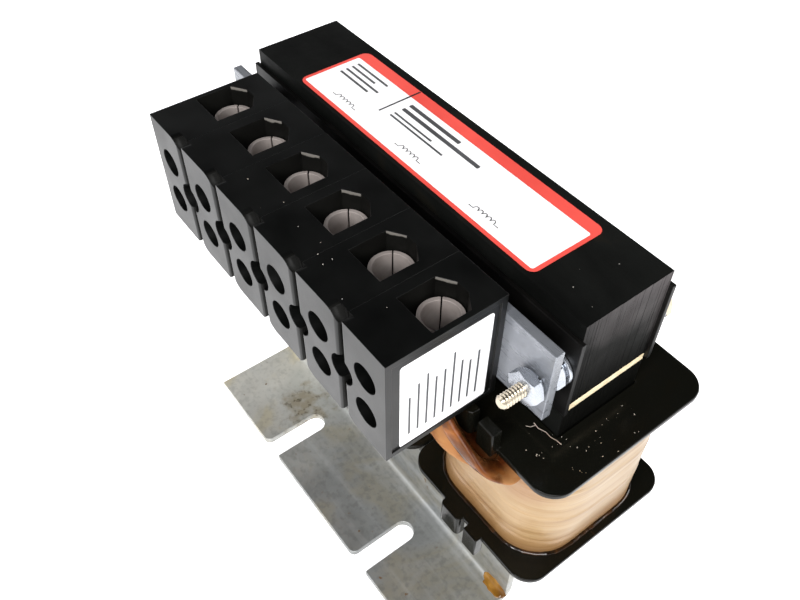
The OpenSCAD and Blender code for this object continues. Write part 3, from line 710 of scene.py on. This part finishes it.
yoke_outline = [(-SHEET_HALF_X, yoke_low.z), (SHEET_HALF_X, yoke_low.z),
                (SHEET_HALF_X, yoke_high.z - EASE), (-SHEET_HALF_X, yoke_high.z - EASE)]
legs = []
for x in (COIL_STEP, 0.0, -COIL_STEP):
    right, left = x + LEG_HALF, x - LEG_HALF
    legs += [(right, WINDOW_LOW), (right, e_high.z), (left, e_high.z), (left, WINDOW_LOW)]
e_outline = [(-SHEET_HALF_X, e_low.z), (SHEET_HALF_X, e_low.z), *legs[1:-1]]
yoke_sheet = sheet_shape("yoke_sheet", yoke_outline, UPPER_BOLTS)
e_sheet = sheet_shape("e_sheet", e_outline, LOWER_BOLTS)
for name, sheet, seed in (("core_yoke", yoke_sheet, 4), ("core_e", e_sheet, 9)):
    stack = grown(name + "_sheets", repeat_tree, {
        "Shape": sheet, "Count": SHEETS, "Start": (0, (SHEET_STEP / 2 - STACK / 2) * MM, 0),
        "Step": (0, SHEET_STEP * MM, 0), "Wander": (0.03 * MM, 0, 0.012 * MM),
        "Shortest": (1.0, 1.0, 1.0), "Seed": seed, "Finish": core_varnish})
    bpy.data.objects.remove(sheet)
    add_piece(name + "_sheets", stack, core_varnish, "lamination", name)
    print(name, "stack:", len(stack.polygons), "faces")

# %% [markdown]
# ## Windings
# Each coil is wrapped in overlapping tape, so its side bulges a little and carries a shallow step that
# climbs round the coil like a screw. The wall is a grid of points: a rounded rectangle for the plan,
# held in by four bowed sides and eased where they meet, with the lap step and a little noise on top.
# A wall thickness inwards closes it.


# %% The winding's plan
def rounded_plan(half_x, half_y, radius, count):
    """Points and outward directions, evenly spaced round a rounded rectangle."""
    arc = radius * math.pi / 2
    runs = [2 * (half_y - radius), arc, 2 * (half_x - radius), arc] * 2
    starts = [(half_x, -half_y + radius), (half_x - radius, half_y),
              (-half_x, half_y - radius), (-half_x + radius, -half_y)]
    found = []
    for k in range(count):
        walk = sum(runs) * k / count
        for index, run in enumerate(runs):
            if walk <= run:
                break
            walk -= run
        quarter = index // 2
        heading = quarter * math.pi / 2
        outward = Vector((math.cos(heading), math.sin(heading)))
        along = Vector((-outward.y, outward.x))
        start = Vector(starts[quarter])
        if index % 2 == 0:
            found.append((start + along * walk, outward))
        else:
            centre = start + along * runs[index - 1] - outward * radius
            angle = heading + walk / radius
            outward = Vector((math.cos(angle), math.sin(angle)))
            found.append((centre + outward * radius, outward))
    return found


HALF_X, HALF_Y, BULGE = 22.3, 22.7, 0.9
PLAN_R, PLAN_POINTS, EASING = 16.0, 168, 18


def winding_plan(share):
    """The winding's outline at a share of its height, in mm, with the outward directions."""
    bow = BULGE * (1 - (2 * share - 1) ** 2)
    plan = rounded_plan(HALF_X + BULGE, HALF_Y + BULGE, PLAN_R, PLAN_POINTS)
    points = []
    for point, outward in plan:
        x = max(-HALF_X - bow, min(HALF_X + bow, point.x))
        y = max(-HALF_Y - bow, min(HALF_Y + bow, point.y))
        points.append(Vector((x, y)))
    for turn in range(EASING):
        following = points[1:] + points[:1]
        points = [(points[k - 1] + 2 * points[k] + following[k]) / 4 for k in range(len(points))]
    return list(zip(points, (outward for point, outward in plan)))


print("winding plan with", len(winding_plan(0.5)), "points")


# %% Taped windings
def skin(work, rings, closed=False, whole=True):
    """Faces between rings of points. closed joins the last ring to the first, whole closes each ring."""
    count = len(rings[0])
    for a, b in zip(rings, rings[1:] + (rings[:1] if closed else [])):
        for k in range(count if whole else count - 1):
            j = (k + 1) % count
            work.faces.new((a[k], a[j], b[j], b[k]))


TAPE_LOW, TAPE_HIGH, TAPE_ROWS = 46.8, 90.4, 72
LAP_HEIGHT = 13.0


def taped_winding(name, centre_x, seed):
    work = bmesh.new()
    rings = []
    for row in range(TAPE_ROWS + 1):
        z = TAPE_LOW + (TAPE_HIGH - TAPE_LOW) * row / TAPE_ROWS
        ring = []
        for index, (point, outward) in enumerate(winding_plan(row / TAPE_ROWS)):
            lap = (z / LAP_HEIGHT + index / PLAN_POINTS) % 1.0
            ripple = noise.noise(Vector((point.x * 0.09 + seed, point.y * 0.09, z * 0.5)))
            spot = point + outward * (0.16 * lap - 0.12 + 0.07 * ripple)
            ring.append(work.verts.new(((centre_x + spot.x) * MM, spot.y * MM, z * MM)))
        rings.append(ring)
    skin(work, rings)
    bmesh.ops.recalc_face_normals(work, faces=work.faces)
    bmesh.ops.solidify(work, geom=work.faces[:], thickness=0.5 * MM)
    return to_mesh(work, name)


for seed, (side, x) in enumerate(SIDES.items()):
    mesh = taped_winding(f"wrap_{side}_tape", x, 7.3 * seed)
    add_piece(f"wrap_{side}_tape", mesh, winding_tape, "tape", f"wrap_{side}")
print("three taped windings,", len(mesh.polygons), "faces each")

# %% [markdown]
# ## Varnish at the foot of a winding
# When the dipped coil was hung to dry, varnish gathered in the corner between the tape and the lower
# flange. It is a thin glossy bead whose highlight runs round the coil. The plan of the winding gives
# its path, and a small noise makes it swell and shrink.

# %% Beads of dried varnish
BEAD_Z, BEAD_POINTS = 46.9, 10


def varnish_bead(name, centre_x, seed):
    work = bmesh.new()
    rings = []
    for point, outward in winding_plan(0.0):
        long_wave = noise.noise(Vector((point.x * 0.2 + seed, point.y * 0.2, seed)))
        short_wave = noise.noise(Vector((point.x * 0.8, point.y * 0.8 + seed, seed)))
        swell = 0.70 + 0.30 * long_wave + 0.22 * short_wave
        ring = []
        for k in range(BEAD_POINTS):
            angle = math.tau * k / BEAD_POINTS
            spot = point + outward * (0.2 + swell * math.cos(angle))
            height = BEAD_Z + 0.7 * swell * math.sin(angle)
            ring.append(work.verts.new(((centre_x + spot.x) * MM, spot.y * MM, height * MM)))
        rings.append(ring)
    skin(work, rings, closed=True)
    return to_mesh(work, name)


for seed, (side, x) in enumerate(SIDES.items()):
    mesh = varnish_bead(f"winding_bead_{side}", x, 5.1 * seed + 2.0)
    add_piece(f"winding_bead_{side}", mesh, dark_varnish, "varnished_lead", soft=60)
print("three varnish beads,", len(mesh.polygons), "faces each")

# %% [markdown]
# ## Leads under varnish
# The ends of each winding leave the coil as a flat bundle, turn up and enter the block from below. A
# sleeve of tape, soaked with amber varnish, spreads from the lead over the face of the winding. Both
# are swept rings: the route is a smooth curve through a few stations, each with its own width and
# thickness, and the ring has lobes for the wires inside.

# %% Varnished lead bundles and their soaked tape
SWEEP_STEPS, SWEEP_POINTS = 60, 36
LEAD_SIDE = 9.2
LEAD_ROUTE = [(share, y, z, 8.0 - 3.0 * share, 3.0 + share) for share, y, z in (
    (0.0, -23.7, 85.0), (0.0, -27.0, 85.2), (0.2, -31.5, 88.9), (0.65, -33.0, 94.45),
    (0.95, -33.0, 98.95), (1.0, -33.0, 102.85), (1.0, -33.0, 106.5))]
TAPE_SIDE = 0.6
TAPE_ROUTE = [(0.0, -20.6, 67.0, 8.0, 4.0), (0.0, -22.2, 73.0, 13.0, 4.6), (0.04, -24.2, 79.0, 19.0, 5.8),
              (0.20, -27.8, 84.0, 18.0, 6.6), (0.50, -31.8, 88.8, 12.5, 6.4), (0.80, -33.0, 94.5, 9.4, 6.4),
              (1.0, -33.0, 101.0, 6.8, 5.8)]


def on_route(stations, t):
    """A Catmull-Rom curve through the stations (share, y, z, width, thickness), t from 0 to 1."""
    last = len(stations) - 1
    spot = min(t * last, last - 1e-6)
    i = int(spot)
    u = spot - i
    a, b, c, d = (stations[min(max(i + n, 0), last)] for n in (-1, 0, 1, 2))
    return [0.5 * (2 * q + (r - p) * u + (2 * p - 5 * q + 4 * r - s) * u ** 2
                   + (3 * q - p - 3 * r + s) * u ** 3)
            for p, q, r, s in zip(a, b, c, d)]


def swept(name, route, start_x, end_x, seed, lobes, drips):
    """A closed ring swept along a route, whose x goes from start_x to end_x by the route's share."""
    work = bmesh.new()
    rings = []
    for step in range(SWEEP_STEPS + 1):
        t = step / SWEEP_STEPS
        share, y, z, width, thick = on_route(route, t)
        ahead = on_route(route, min(t + 0.01, 1.0))
        behind = on_route(route, max(t - 0.01, 0.0))
        centre = Vector((start_x + (end_x - start_x) * share, y, z))
        run = (end_x - start_x) * (ahead[0] - behind[0])
        heading = Vector((run, ahead[1] - behind[1], ahead[2] - behind[2])).normalized()
        flat = (Vector((1, 0, 0)) - heading * heading.x).normalized()
        up = heading.cross(flat)
        ring = []
        for k in range(SWEEP_POINTS):
            angle = math.tau * k / SWEEP_POINTS
            lobe = 0.91 + 0.08 * abs(math.cos(lobes * angle / 2))
            around = Vector((math.cos(angle), math.sin(angle), 0)) * 1.6
            swell = lobe + drips * noise.noise(around + Vector((seed, 0, t * 6.0)))
            sideways = flat * (width / 2 * swell * math.cos(angle))
            spot = centre + sideways + up * (thick / 2 * swell * math.sin(angle))
            ring.append(work.verts.new(spot * MM))
        rings.append(ring)
    skin(work, rings)
    work.faces.new(rings[0])
    work.faces.new(rings[-1])
    return to_mesh(work, name)


for k in POLES:
    coil_x = COIL_STEP * ((k - 1) // 2 - 1)
    hand = -1 if k % 2 else 1
    mesh = swept(f"lead_{k}_bundle", LEAD_ROUTE, coil_x + hand * LEAD_SIDE, pole_x(k), 3.1 * k, 3, 0.07)
    add_piece(f"lead_{k}_bundle", mesh, lead_varnish, "varnished_lead", f"lead_{k}", soft=60)
    mesh = swept(f"lead_{k}_tape", TAPE_ROUTE, coil_x + hand * TAPE_SIDE, pole_x(k), 1.7 * k, 4, 0.05)
    add_piece(f"lead_{k}_tape", mesh, soaked_tape, "varnished_lead", soft=60)
print("six leads in soaked tape,", len(mesh.polygons), "faces each")

# %% [markdown]
# ## Nuts, washers and bolts
# A nut is a hexagon whose corners are cut by a cone, which leaves the curved chamfer that everyone
# knows. Instead of cutting, the outline is spun: at each angle the hexagon's radius is known, and the
# cone says how far down the corner goes. Washers and bolt shanks come from the same spinning helper.


# %% Spun fasteners
SEAM_ANGLE = 62


def spun(work, x, z, outline, steps=48, ring=False, gap=0.0):
    """Turn an outline round a line along Y. outline(angle) gives (radius, y) points in mm.

    ring says that the outline is a closed loop, and gap is the opening of a split washer in degrees.
    """
    columns = []
    for k in range(steps + (gap > 0)):
        angle = math.radians(gap / 2 + (360 - gap) * k / steps + SEAM_ANGLE)
        spots = [(x + r * math.cos(angle), y, z + r * math.sin(angle)) for r, y in outline(angle)]
        columns.append([work.verts.new(Vector(spot) * MM) for spot in spots])
    skin(work, columns, closed=not gap, whole=ring)
    if gap:
        work.faces.new(columns[0])
        work.faces.new(columns[-1])


def hexagon(angle, flats, turn=0.0):
    return flats / 2 / math.cos((angle + turn) % (math.pi / 3) - math.pi / 6)


def nut(work, x, z, y0, y1, flats, hole, turn=0.0):
    """A hexagon nut between y0 and y1. Without a hole it is a bolt head."""
    face = flats / 2 * 0.95

    def outline(angle):
        reach = hexagon(angle, flats, turn)
        drop = (reach - face) * math.tan(math.radians(28))
        wall = [(face, y0), (reach, y0 + drop), (reach, y1 - drop), (face, y1)]
        if hole:
            return [(hole + 0.3, y0), *wall, (hole + 0.3, y1), (hole, y1 - 0.3), (hole, y0 + 0.3)]
        return [(0, y0), *wall, (0, y1)]

    spun(work, x, z, outline, 72, ring=bool(hole))


def washer(work, x, z, y0, y1, inner, outer, gap=0.0):
    r = min(0.18, (y1 - y0) / 4)
    loop = [(inner, y0), (outer - r, y0), (outer, y0 + r), (outer, y1 - r), (outer - r, y1), (inner, y1)]
    spun(work, x, z, lambda angle: loop, 48, ring=True, gap=gap)


def shank(work, x, z, y0, y1, radius):
    """A plain shank with a small cone at both ends."""
    c = 0.35
    loop = [(0, y0), (radius - c, y0), (radius, y0 + c), (radius, y1 - c), (radius - c, y1), (0, y1)]
    spun(work, x, z, lambda angle: loop, 40)


print("spun nuts, washers and shanks ready")

# %% [markdown]
# ## Screw threads by nodes
# A thread is a ridge that follows a spiral, so it is a job for Geometry Nodes: a spiral curve, a small
# diamond swept along it, turned to lie along the bolt. Half of the diamond sinks into the shank and the
# other half is the ridge.

# %% Node tree: a thread on a shank
tree, given, end = node_tree("thread", {
    "Turns": "Float", "Radius": "Float", "Length": "Float", "Ridge": "Float", "Tip": "Vector",
    "Finish": "Material"})
spiral = add_node(tree, "GeometryNodeCurveSpiral", {
    "Resolution": 24, "Rotations": given["Turns"], "Start Radius": given["Radius"],
    "End Radius": given["Radius"], "Height": given["Length"]})
upright = add_node(tree, "GeometryNodeSetCurveNormal", {0: spiral.outputs[0]}, mode="Z_UP")
diamond = add_node(tree, "GeometryNodeCurvePrimitiveCircle", {"Resolution": 4, "Radius": given["Ridge"]})
sweep = add_node(tree, "GeometryNodeCurveToMesh", {
    "Curve": upright.outputs[0], "Profile Curve": diamond.outputs[0], "Fill Caps": True})
lay = add_node(tree, "GeometryNodeTransform", {
    "Geometry": sweep.outputs[0], "Translation": given["Tip"], "Rotation": (-math.pi / 2, 0, 0)})
finish_tree(tree, lay.outputs[0], given["Finish"], end)
thread_tree = tree

BOLT_R = 1.72
HEAD_FLATS = 7.9
THREAD_PITCH, RIDGE = 0.79, 0.27


def bolt_with_thread(node, slot, places, tip, far, thread, head):
    """Two bolts: shank from tip to far, with a thread and a hexagon head between two y values each."""
    name = node + "_threaded"
    thread_from, thread_to = thread
    length = thread_to - thread_from
    work = bmesh.new()
    for x, z in places:
        shank(work, x, z, min(tip, far), max(tip, far), BOLT_R - 0.24)
        nut(work, x, z, *head, HEAD_FLATS, 0, 0.2 if x > 0 else 0.5)
    for x, z in places:
        work.from_mesh(grown("thread", thread_tree, {
            "Turns": length / THREAD_PITCH, "Radius": (BOLT_R - 0.26) * MM, "Length": length * MM,
            "Ridge": RIDGE * MM, "Tip": (x * MM, thread_from * MM, z * MM), "Finish": bolt_zinc}))
    mesh = to_mesh(work, name)
    add_piece(name, mesh, bolt_zinc, slot, node, soft=30)
    print(name, len(mesh.polygons), "faces")


bolt_with_thread("yoke_bolts", "bolt_zinc", UPPER_BOLTS, tip=-31.1, far=15.4,
                 thread=(-30.7, -14.6), head=(15.2, 17.6))
bolt_with_thread("foot_bolts", "hardware_zinc", LOWER_BOLTS, tip=22.6, far=-17.0,
                 thread=(16.0, 22.2), head=(-19.3, -16.9))

# %% Nuts and washers on both rows of bolts
SETS = {"bracket": UPPER_BOLTS, "yoke": UPPER_BOLTS, "foot": LOWER_BOLTS}
NUT_FLATS, NUT_HOLE = 7.94, 1.6
SPLIT_INNER, SPLIT_OUTER, SPLIT_GAP = 1.8, 3.2, 12
FLAT_INNER, FLAT_OUTER = 1.9, 4.4
CLAMP_FACE = limits("clamp_plate_upper_rear")[1].y


def span(node):
    """The y range of a solid, in mm."""
    return [corner.y for corner in limits(node)]


def fasteners(node, ending, places, make):
    """make(work, x, z) adds the fasteners of one bolt."""
    work = bmesh.new()
    for x, z in places:
        make(work, x, z)
    add_piece(node + ending, to_mesh(work, node + ending), hardware_zinc, "hardware_zinc", node, soft=30)


for name, places in SETS.items():
    y0, y1 = span(name + "_nuts")
    fasteners(name + "_nuts", "_cut", places, lambda work, x, z: nut(
        work, x, z, y0, y1, NUT_FLATS, NUT_HOLE, 0.15 if x > 0 else 0.45))
for name, places in SETS.items():
    y0, y1 = span(name + "_lock_washers")
    fasteners(name + "_lock_washers", "_split", places, lambda work, x, z: washer(
        work, x, z, y0, y1, SPLIT_INNER, SPLIT_OUTER, SPLIT_GAP))


def flat_pair(work, x, z):
    front, rear = span("yoke_flat_washers")
    washer(work, x, z, front, -CLAMP_FACE, FLAT_INNER, FLAT_OUTER)
    washer(work, x, z, CLAMP_FACE, rear, FLAT_INNER, FLAT_OUTER)


fasteners("yoke_flat_washers", "_round", UPPER_BOLTS, flat_pair)
print(len(SETS), "sets of nuts and split washers, and one of flat washers")

# %% [markdown]
# ## Labels
# A white label with a coral red border lies on top of the yoke, and a plain white one sits in the end
# recess of the block. Their print is generic: a red band, a divider, three coil symbols as in any
# circuit diagram, and rows of grey rules. Each label is a thin closed plate.


# %% Paper, red and ink finishes
def print_finish(name, low, high, rough):
    made = Finish(name, {"Specular IOR Level": 0.4})
    cloud = made.noise(70, 4)
    made.bump(made.noise(600, 3), 0.12, 0.03)
    return made.paint(made.tones(cloud, low, high), made.spread(cloud, rough, rough + 0.12))


label_paper = print_finish("label_paper", (0.87, 0.86, 0.87), (0.93, 0.92, 0.93), 0.42)
label_red = print_finish("label_red", (0.66, 0.065, 0.050), (0.76, 0.085, 0.066), 0.40)
label_ink = print_finish("label_ink", (0.010, 0.010, 0.011), (0.022, 0.021, 0.022), 0.45)
label_grey = print_finish("label_grey", (0.045, 0.045, 0.048), (0.085, 0.085, 0.09), 0.48)
print("four label finishes")


# %% Helpers: plates and printed lines
def plate(work, x0, x1, y0, y1, z0, z1, radius):
    """A thin plate with round corners, in mm."""
    corners = ((x1 - radius, y1 - radius), (x0 + radius, y1 - radius),
               (x0 + radius, y0 + radius), (x1 - radius, y0 + radius))
    loop = []
    for quarter, (x, y) in enumerate(corners):
        for k in range(6):
            angle = math.radians(90 * quarter + 18 * k)
            loop.append((x + radius * math.cos(angle), y + radius * math.sin(angle)))
    low, high = ([work.verts.new((x * MM, y * MM, z * MM)) for x, y in loop] for z in (z0, z1))
    work.faces.new(high)
    work.faces.new(low[::-1])
    skin(work, [low, high])


def flat_line(work, points, width, height_z):
    """A thin tube along the points, pressed flat: a printed line or a thread of varnish."""
    curve = bpy.data.curves.new("line", "CURVE")
    curve.dimensions = "3D"
    curve.bevel_depth = width / 2 * MM
    curve.bevel_resolution = 1
    curve.use_fill_caps = True
    spline = curve.splines.new("POLY")
    spline.points.add(len(points) - 1)
    for point, (x, y) in zip(spline.points, points):
        point.co = (x * MM, y * MM, 0, 1)
    mesh = evaluated("line", curve)
    for vertex in mesh.vertices:
        vertex.co.z = vertex.co.z * 0.12 + height_z * MM
    work.from_mesh(mesh)


def rules(name, place, size, count, step, shortest, seed):
    """Rows of printed rules of uneven length, by the repeat tree. place, size and step are in mm."""
    width, height = size
    work = bmesh.new()
    plate(work, 0, width, 0, height, 0, 0.05, min(size) * 0.3)
    bar = bpy.data.objects.new("bar", to_mesh(work, "bar"))
    scene.collection.objects.link(bar)
    mesh = grown(name, repeat_tree, {
        "Shape": bar, "Count": count, "Start": tuple(v * MM for v in place),
        "Step": tuple(v * MM for v in step), "Wander": (0.0, 0.0, 0.0), "Shortest": shortest,
        "Seed": seed, "Finish": label_grey})
    bpy.data.objects.remove(bar)
    return mesh


print("label helpers ready")

# %% The label on the yoke
LABEL_Z = yoke_high.z + 0.02
COIL_SIGNS, SIGN_Y, SIGN_HALF = (-28.4, -1.4, 26.6), -8.3, 5.0
HUMPS, HUMP_R, HUMP_HIGH = 5, 0.7, 1.1
DIVIDER = [(-19.7, -3.4), (-19.7, 10.2)]
INK_Z, RULES_Z = LABEL_Z + 0.14, LABEL_Z + 0.12
RED_FIELD, PAPER_FIELD = (-44.0, 46.4, -12.0, 10.4), (-42.9, 45.3, -10.9, 6.8)
for name, finish, field, low, high, corner_r in (
        ("yoke_label_red", label_red, RED_FIELD, 0.0, 0.10, 2.2),
        ("yoke_label_paper", label_paper, PAPER_FIELD, 0.02, 0.13, 0.6)):
    work = bmesh.new()
    plate(work, *field, LABEL_Z + low, LABEL_Z + high, corner_r)
    add_piece(name, to_mesh(work, name), finish, "lamination")

work = bmesh.new()
for x in COIL_SIGNS:
    points = [(x - SIGN_HALF, SIGN_Y)]
    for hump in range(HUMPS):
        centre = x + HUMP_R * (2 * hump - HUMPS + 1)
        for a in range(7):
            turn = a * math.pi / 6
            points.append((centre - HUMP_R * math.cos(turn), SIGN_Y + HUMP_HIGH * math.sin(turn)))
    flat_line(work, points + [(x + SIGN_HALF, SIGN_Y)], 0.26, INK_Z)
flat_line(work, DIVIDER, 0.55, INK_Z)
add_piece("yoke_label_symbols", to_mesh(work, "yoke_label_symbols"), label_ink, "lamination")

for name, x, y, size, count, step, seed in (
        ("yoke_label_rules_left", -40.5, 4.4, (16.0, 0.7), 4, -1.9, 3),
        ("yoke_label_rules_title", -16.5, 3.8, (30.0, 1.2), 2, -2.4, 5),
        ("yoke_label_rules_small", -16.5, -1.0, (24.0, 0.6), 2, -1.4, 8)):
    mesh = rules(name, (x, y, RULES_Z), size, count, (0, step, 0), (0.6, 1.0, 1.0), seed)
    add_piece(name, mesh, label_grey, "lamination")

# %% The label in the end recess
END_X = 49.02
END_FIELD = (-48.6, -24.6, 102.7, 130.7)


def onto_end(vertices, out=0.0, y_start=0.0, z_start=0.0):
    """Stand a label that was drawn flat up against the end wall of the block."""
    for vertex in vertices:
        y, z, height = vertex.co
        vertex.co = ((END_X + out) * MM + height, y + y_start * MM, z + z_start * MM)


work = bmesh.new()
plate(work, *END_FIELD, 0, 0.12, 0.8)
onto_end(work.verts)
add_piece("end_label_paper", to_mesh(work, "end_label_paper"), label_paper, "block_plastic")
mesh = rules("end_label_rules", (0, 0, 0), (0.55, 20.0), 9, (2.3, 0, 0), (1.0, 0.45, 1.0), 12)
onto_end(mesh.vertices, 0.11, -46.4, 106.0)
mesh.update()
add_piece("end_label_rules", mesh, label_grey, "block_plastic")
print("label in the end recess: 2 pieces")

# %% [markdown]
# ## Varnish run and flecks
# Dipping left its marks: an amber run on the bend of the front foot, a pale thread on the right bobbin,
# and pale flecks of dried varnish and dust on the flat tops. The flecks are scattered by a node tree
# over small patches with a fixed seed, so they stay where they are in every render.

# %% Amber run on the bend of the front foot
FOOT_TOP, BEND_R = 2.6, 2.0
FLANGE_FACE = limits("foot_bracket_front")[1].y - FOOT_TOP
BEND_Y, BEND_Z = FLANGE_FACE - BEND_R, FOOT_TOP + BEND_R


def on_bend(run):
    """A point (y, z) on the foot's inner surface and the way it looks. run counts from the bend's middle."""
    arc = BEND_R * math.pi / 4
    if run < -arc:
        return Vector((BEND_Y + run + arc, FOOT_TOP)), Vector((0, 1))
    if run > arc:
        return Vector((FLANGE_FACE, BEND_Z + run - arc)), Vector((-1, 0))
    angle = run / BEND_R - math.pi / 4
    facing = Vector((-math.cos(angle), -math.sin(angle)))
    return Vector((BEND_Y, BEND_Z)) - facing * BEND_R, facing


def varnish_run(name, centre_x, half_x, half_run, height):
    """A drop that hugs the bend between foot and flange, in mm."""
    work = bmesh.new()
    bmesh.ops.create_icosphere(work, subdivisions=4, radius=1.0)
    for vertex in work.verts:
        u, v, w = vertex.co
        wobble = 1.0 + 0.34 * noise.noise(Vector((u * 2.1, v * 2.1, 4.0)))
        point, facing = on_bend(v * half_run * wobble)
        spot = point + facing * (height * max(w, -0.15))
        vertex.co = ((centre_x + u * half_x * wobble) * MM, spot.x * MM, spot.y * MM)
    add_piece(name, to_mesh(work, name), amber_varnish, "foot_zinc", soft=80)


varnish_run("varnish_run_right", centre_x=58.6, half_x=4.9, half_run=2.6, height=0.45)
print("varnish run done")

# %% A thread of varnish on the right bobbin
BOBBIN_TOP = 92.2
THREAD_Z = BOBBIN_TOP + 0.03
work = bmesh.new()
flat_line(work, [(57.6, -15.2), (59.4, -15.4), (61.2, -14.7), (62.9, -14.8), (64.4, -14.3), (65.8, -14.2)],
          0.20, THREAD_Z)
flat_line(work, [(58.4, -15.3), (58.0, -16.6), (57.1, -17.3)], 0.15, THREAD_Z)
add_piece("varnish_thread", to_mesh(work, "varnish_thread"), pale_varnish, "bobbin", soft=60)
print("varnish thread done")

# %% Node tree: flecks on flat patches
tree, given, end = node_tree("flecks", {
    "Geometry": "Geometry", "Fleck": "Object", "Per square metre": "Float", "Smallest": "Float",
    "Largest": "Float", "Seed": "Int", "Finish": "Material"})
strew = add_node(tree, "GeometryNodeDistributePointsOnFaces", {
    "Mesh": given["Geometry"], "Density": given["Per square metre"], "Seed": given["Seed"]})
turn = add_node(tree, "FunctionNodeRandomValue", {
    "Max": (0, 0, math.tau), "Seed": given["Seed"]}, data_type="FLOAT_VECTOR")
grow = add_node(tree, "FunctionNodeRandomValue", {
    "Min": given["Smallest"], "Max": given["Largest"], "Seed": given["Seed"]}, data_type="FLOAT")
shape = add_node(tree, "GeometryNodeObjectInfo", {"Object": given["Fleck"]})
place = add_node(tree, "GeometryNodeInstanceOnPoints", {
    "Points": strew.outputs["Points"], "Instance": shape.outputs["Geometry"],
    "Rotation": turn.outputs[0], "Scale": grow.outputs[1]})
finish_tree(tree, place.outputs[0], given["Finish"], end)
fleck_tree = tree
print("fleck tree:", len(tree.nodes), "nodes")

# %% Flecks on the right bobbin, the yoke and the block
fleck_dust = print_finish("fleck_dust", (0.30, 0.22, 0.13), (0.85, 0.83, 0.80), 0.7)
work = bmesh.new()
bmesh.ops.create_icosphere(work, subdivisions=1, radius=MM)
for vertex in work.verts:
    x, y, z = vertex.co
    vertex.co = (x * 1.25, y * 0.8, z * 0.25)
fleck = bpy.data.objects.new("fleck", to_mesh(work, "fleck"))
scene.collection.objects.link(fleck)

LIFT = 0.02
PATCHES = (
    ("flecks_bobbin", "bobbin", BOBBIN_TOP, [(58, 74.5, -22, -8), (66, 75, -8, 8)], 110000, 3),
    ("flecks_yoke", "lamination", yoke_high.z, [(47, 62, -11, 9)], 14000, 5),
    ("flecks_block", "block_plastic", BLOCK_TOP, [(-20, 48, -49, -42)], 20000, 7),
)
for name, slot, top, spans, density, seed in PATCHES:
    work = bmesh.new()
    for x0, x1, y0, y1 in spans:
        corners = ((x0, y0), (x1, y0), (x1, y1), (x0, y1))
        work.faces.new([work.verts.new((x * MM, y * MM, (top + LIFT) * MM)) for x, y in corners])
    patch = bpy.data.meshes.new(name)
    work.to_mesh(patch)
    work.free()
    mesh = grown(name, fleck_tree, {
        "Fleck": fleck, "Per square metre": density, "Smallest": 0.03, "Largest": 0.15, "Seed": seed,
        "Finish": fleck_dust}, patch)
    add_piece(name, mesh, fleck_dust, slot)
    print(name, len(mesh.polygons) // 20, "flecks")
bpy.data.objects.remove(fleck)
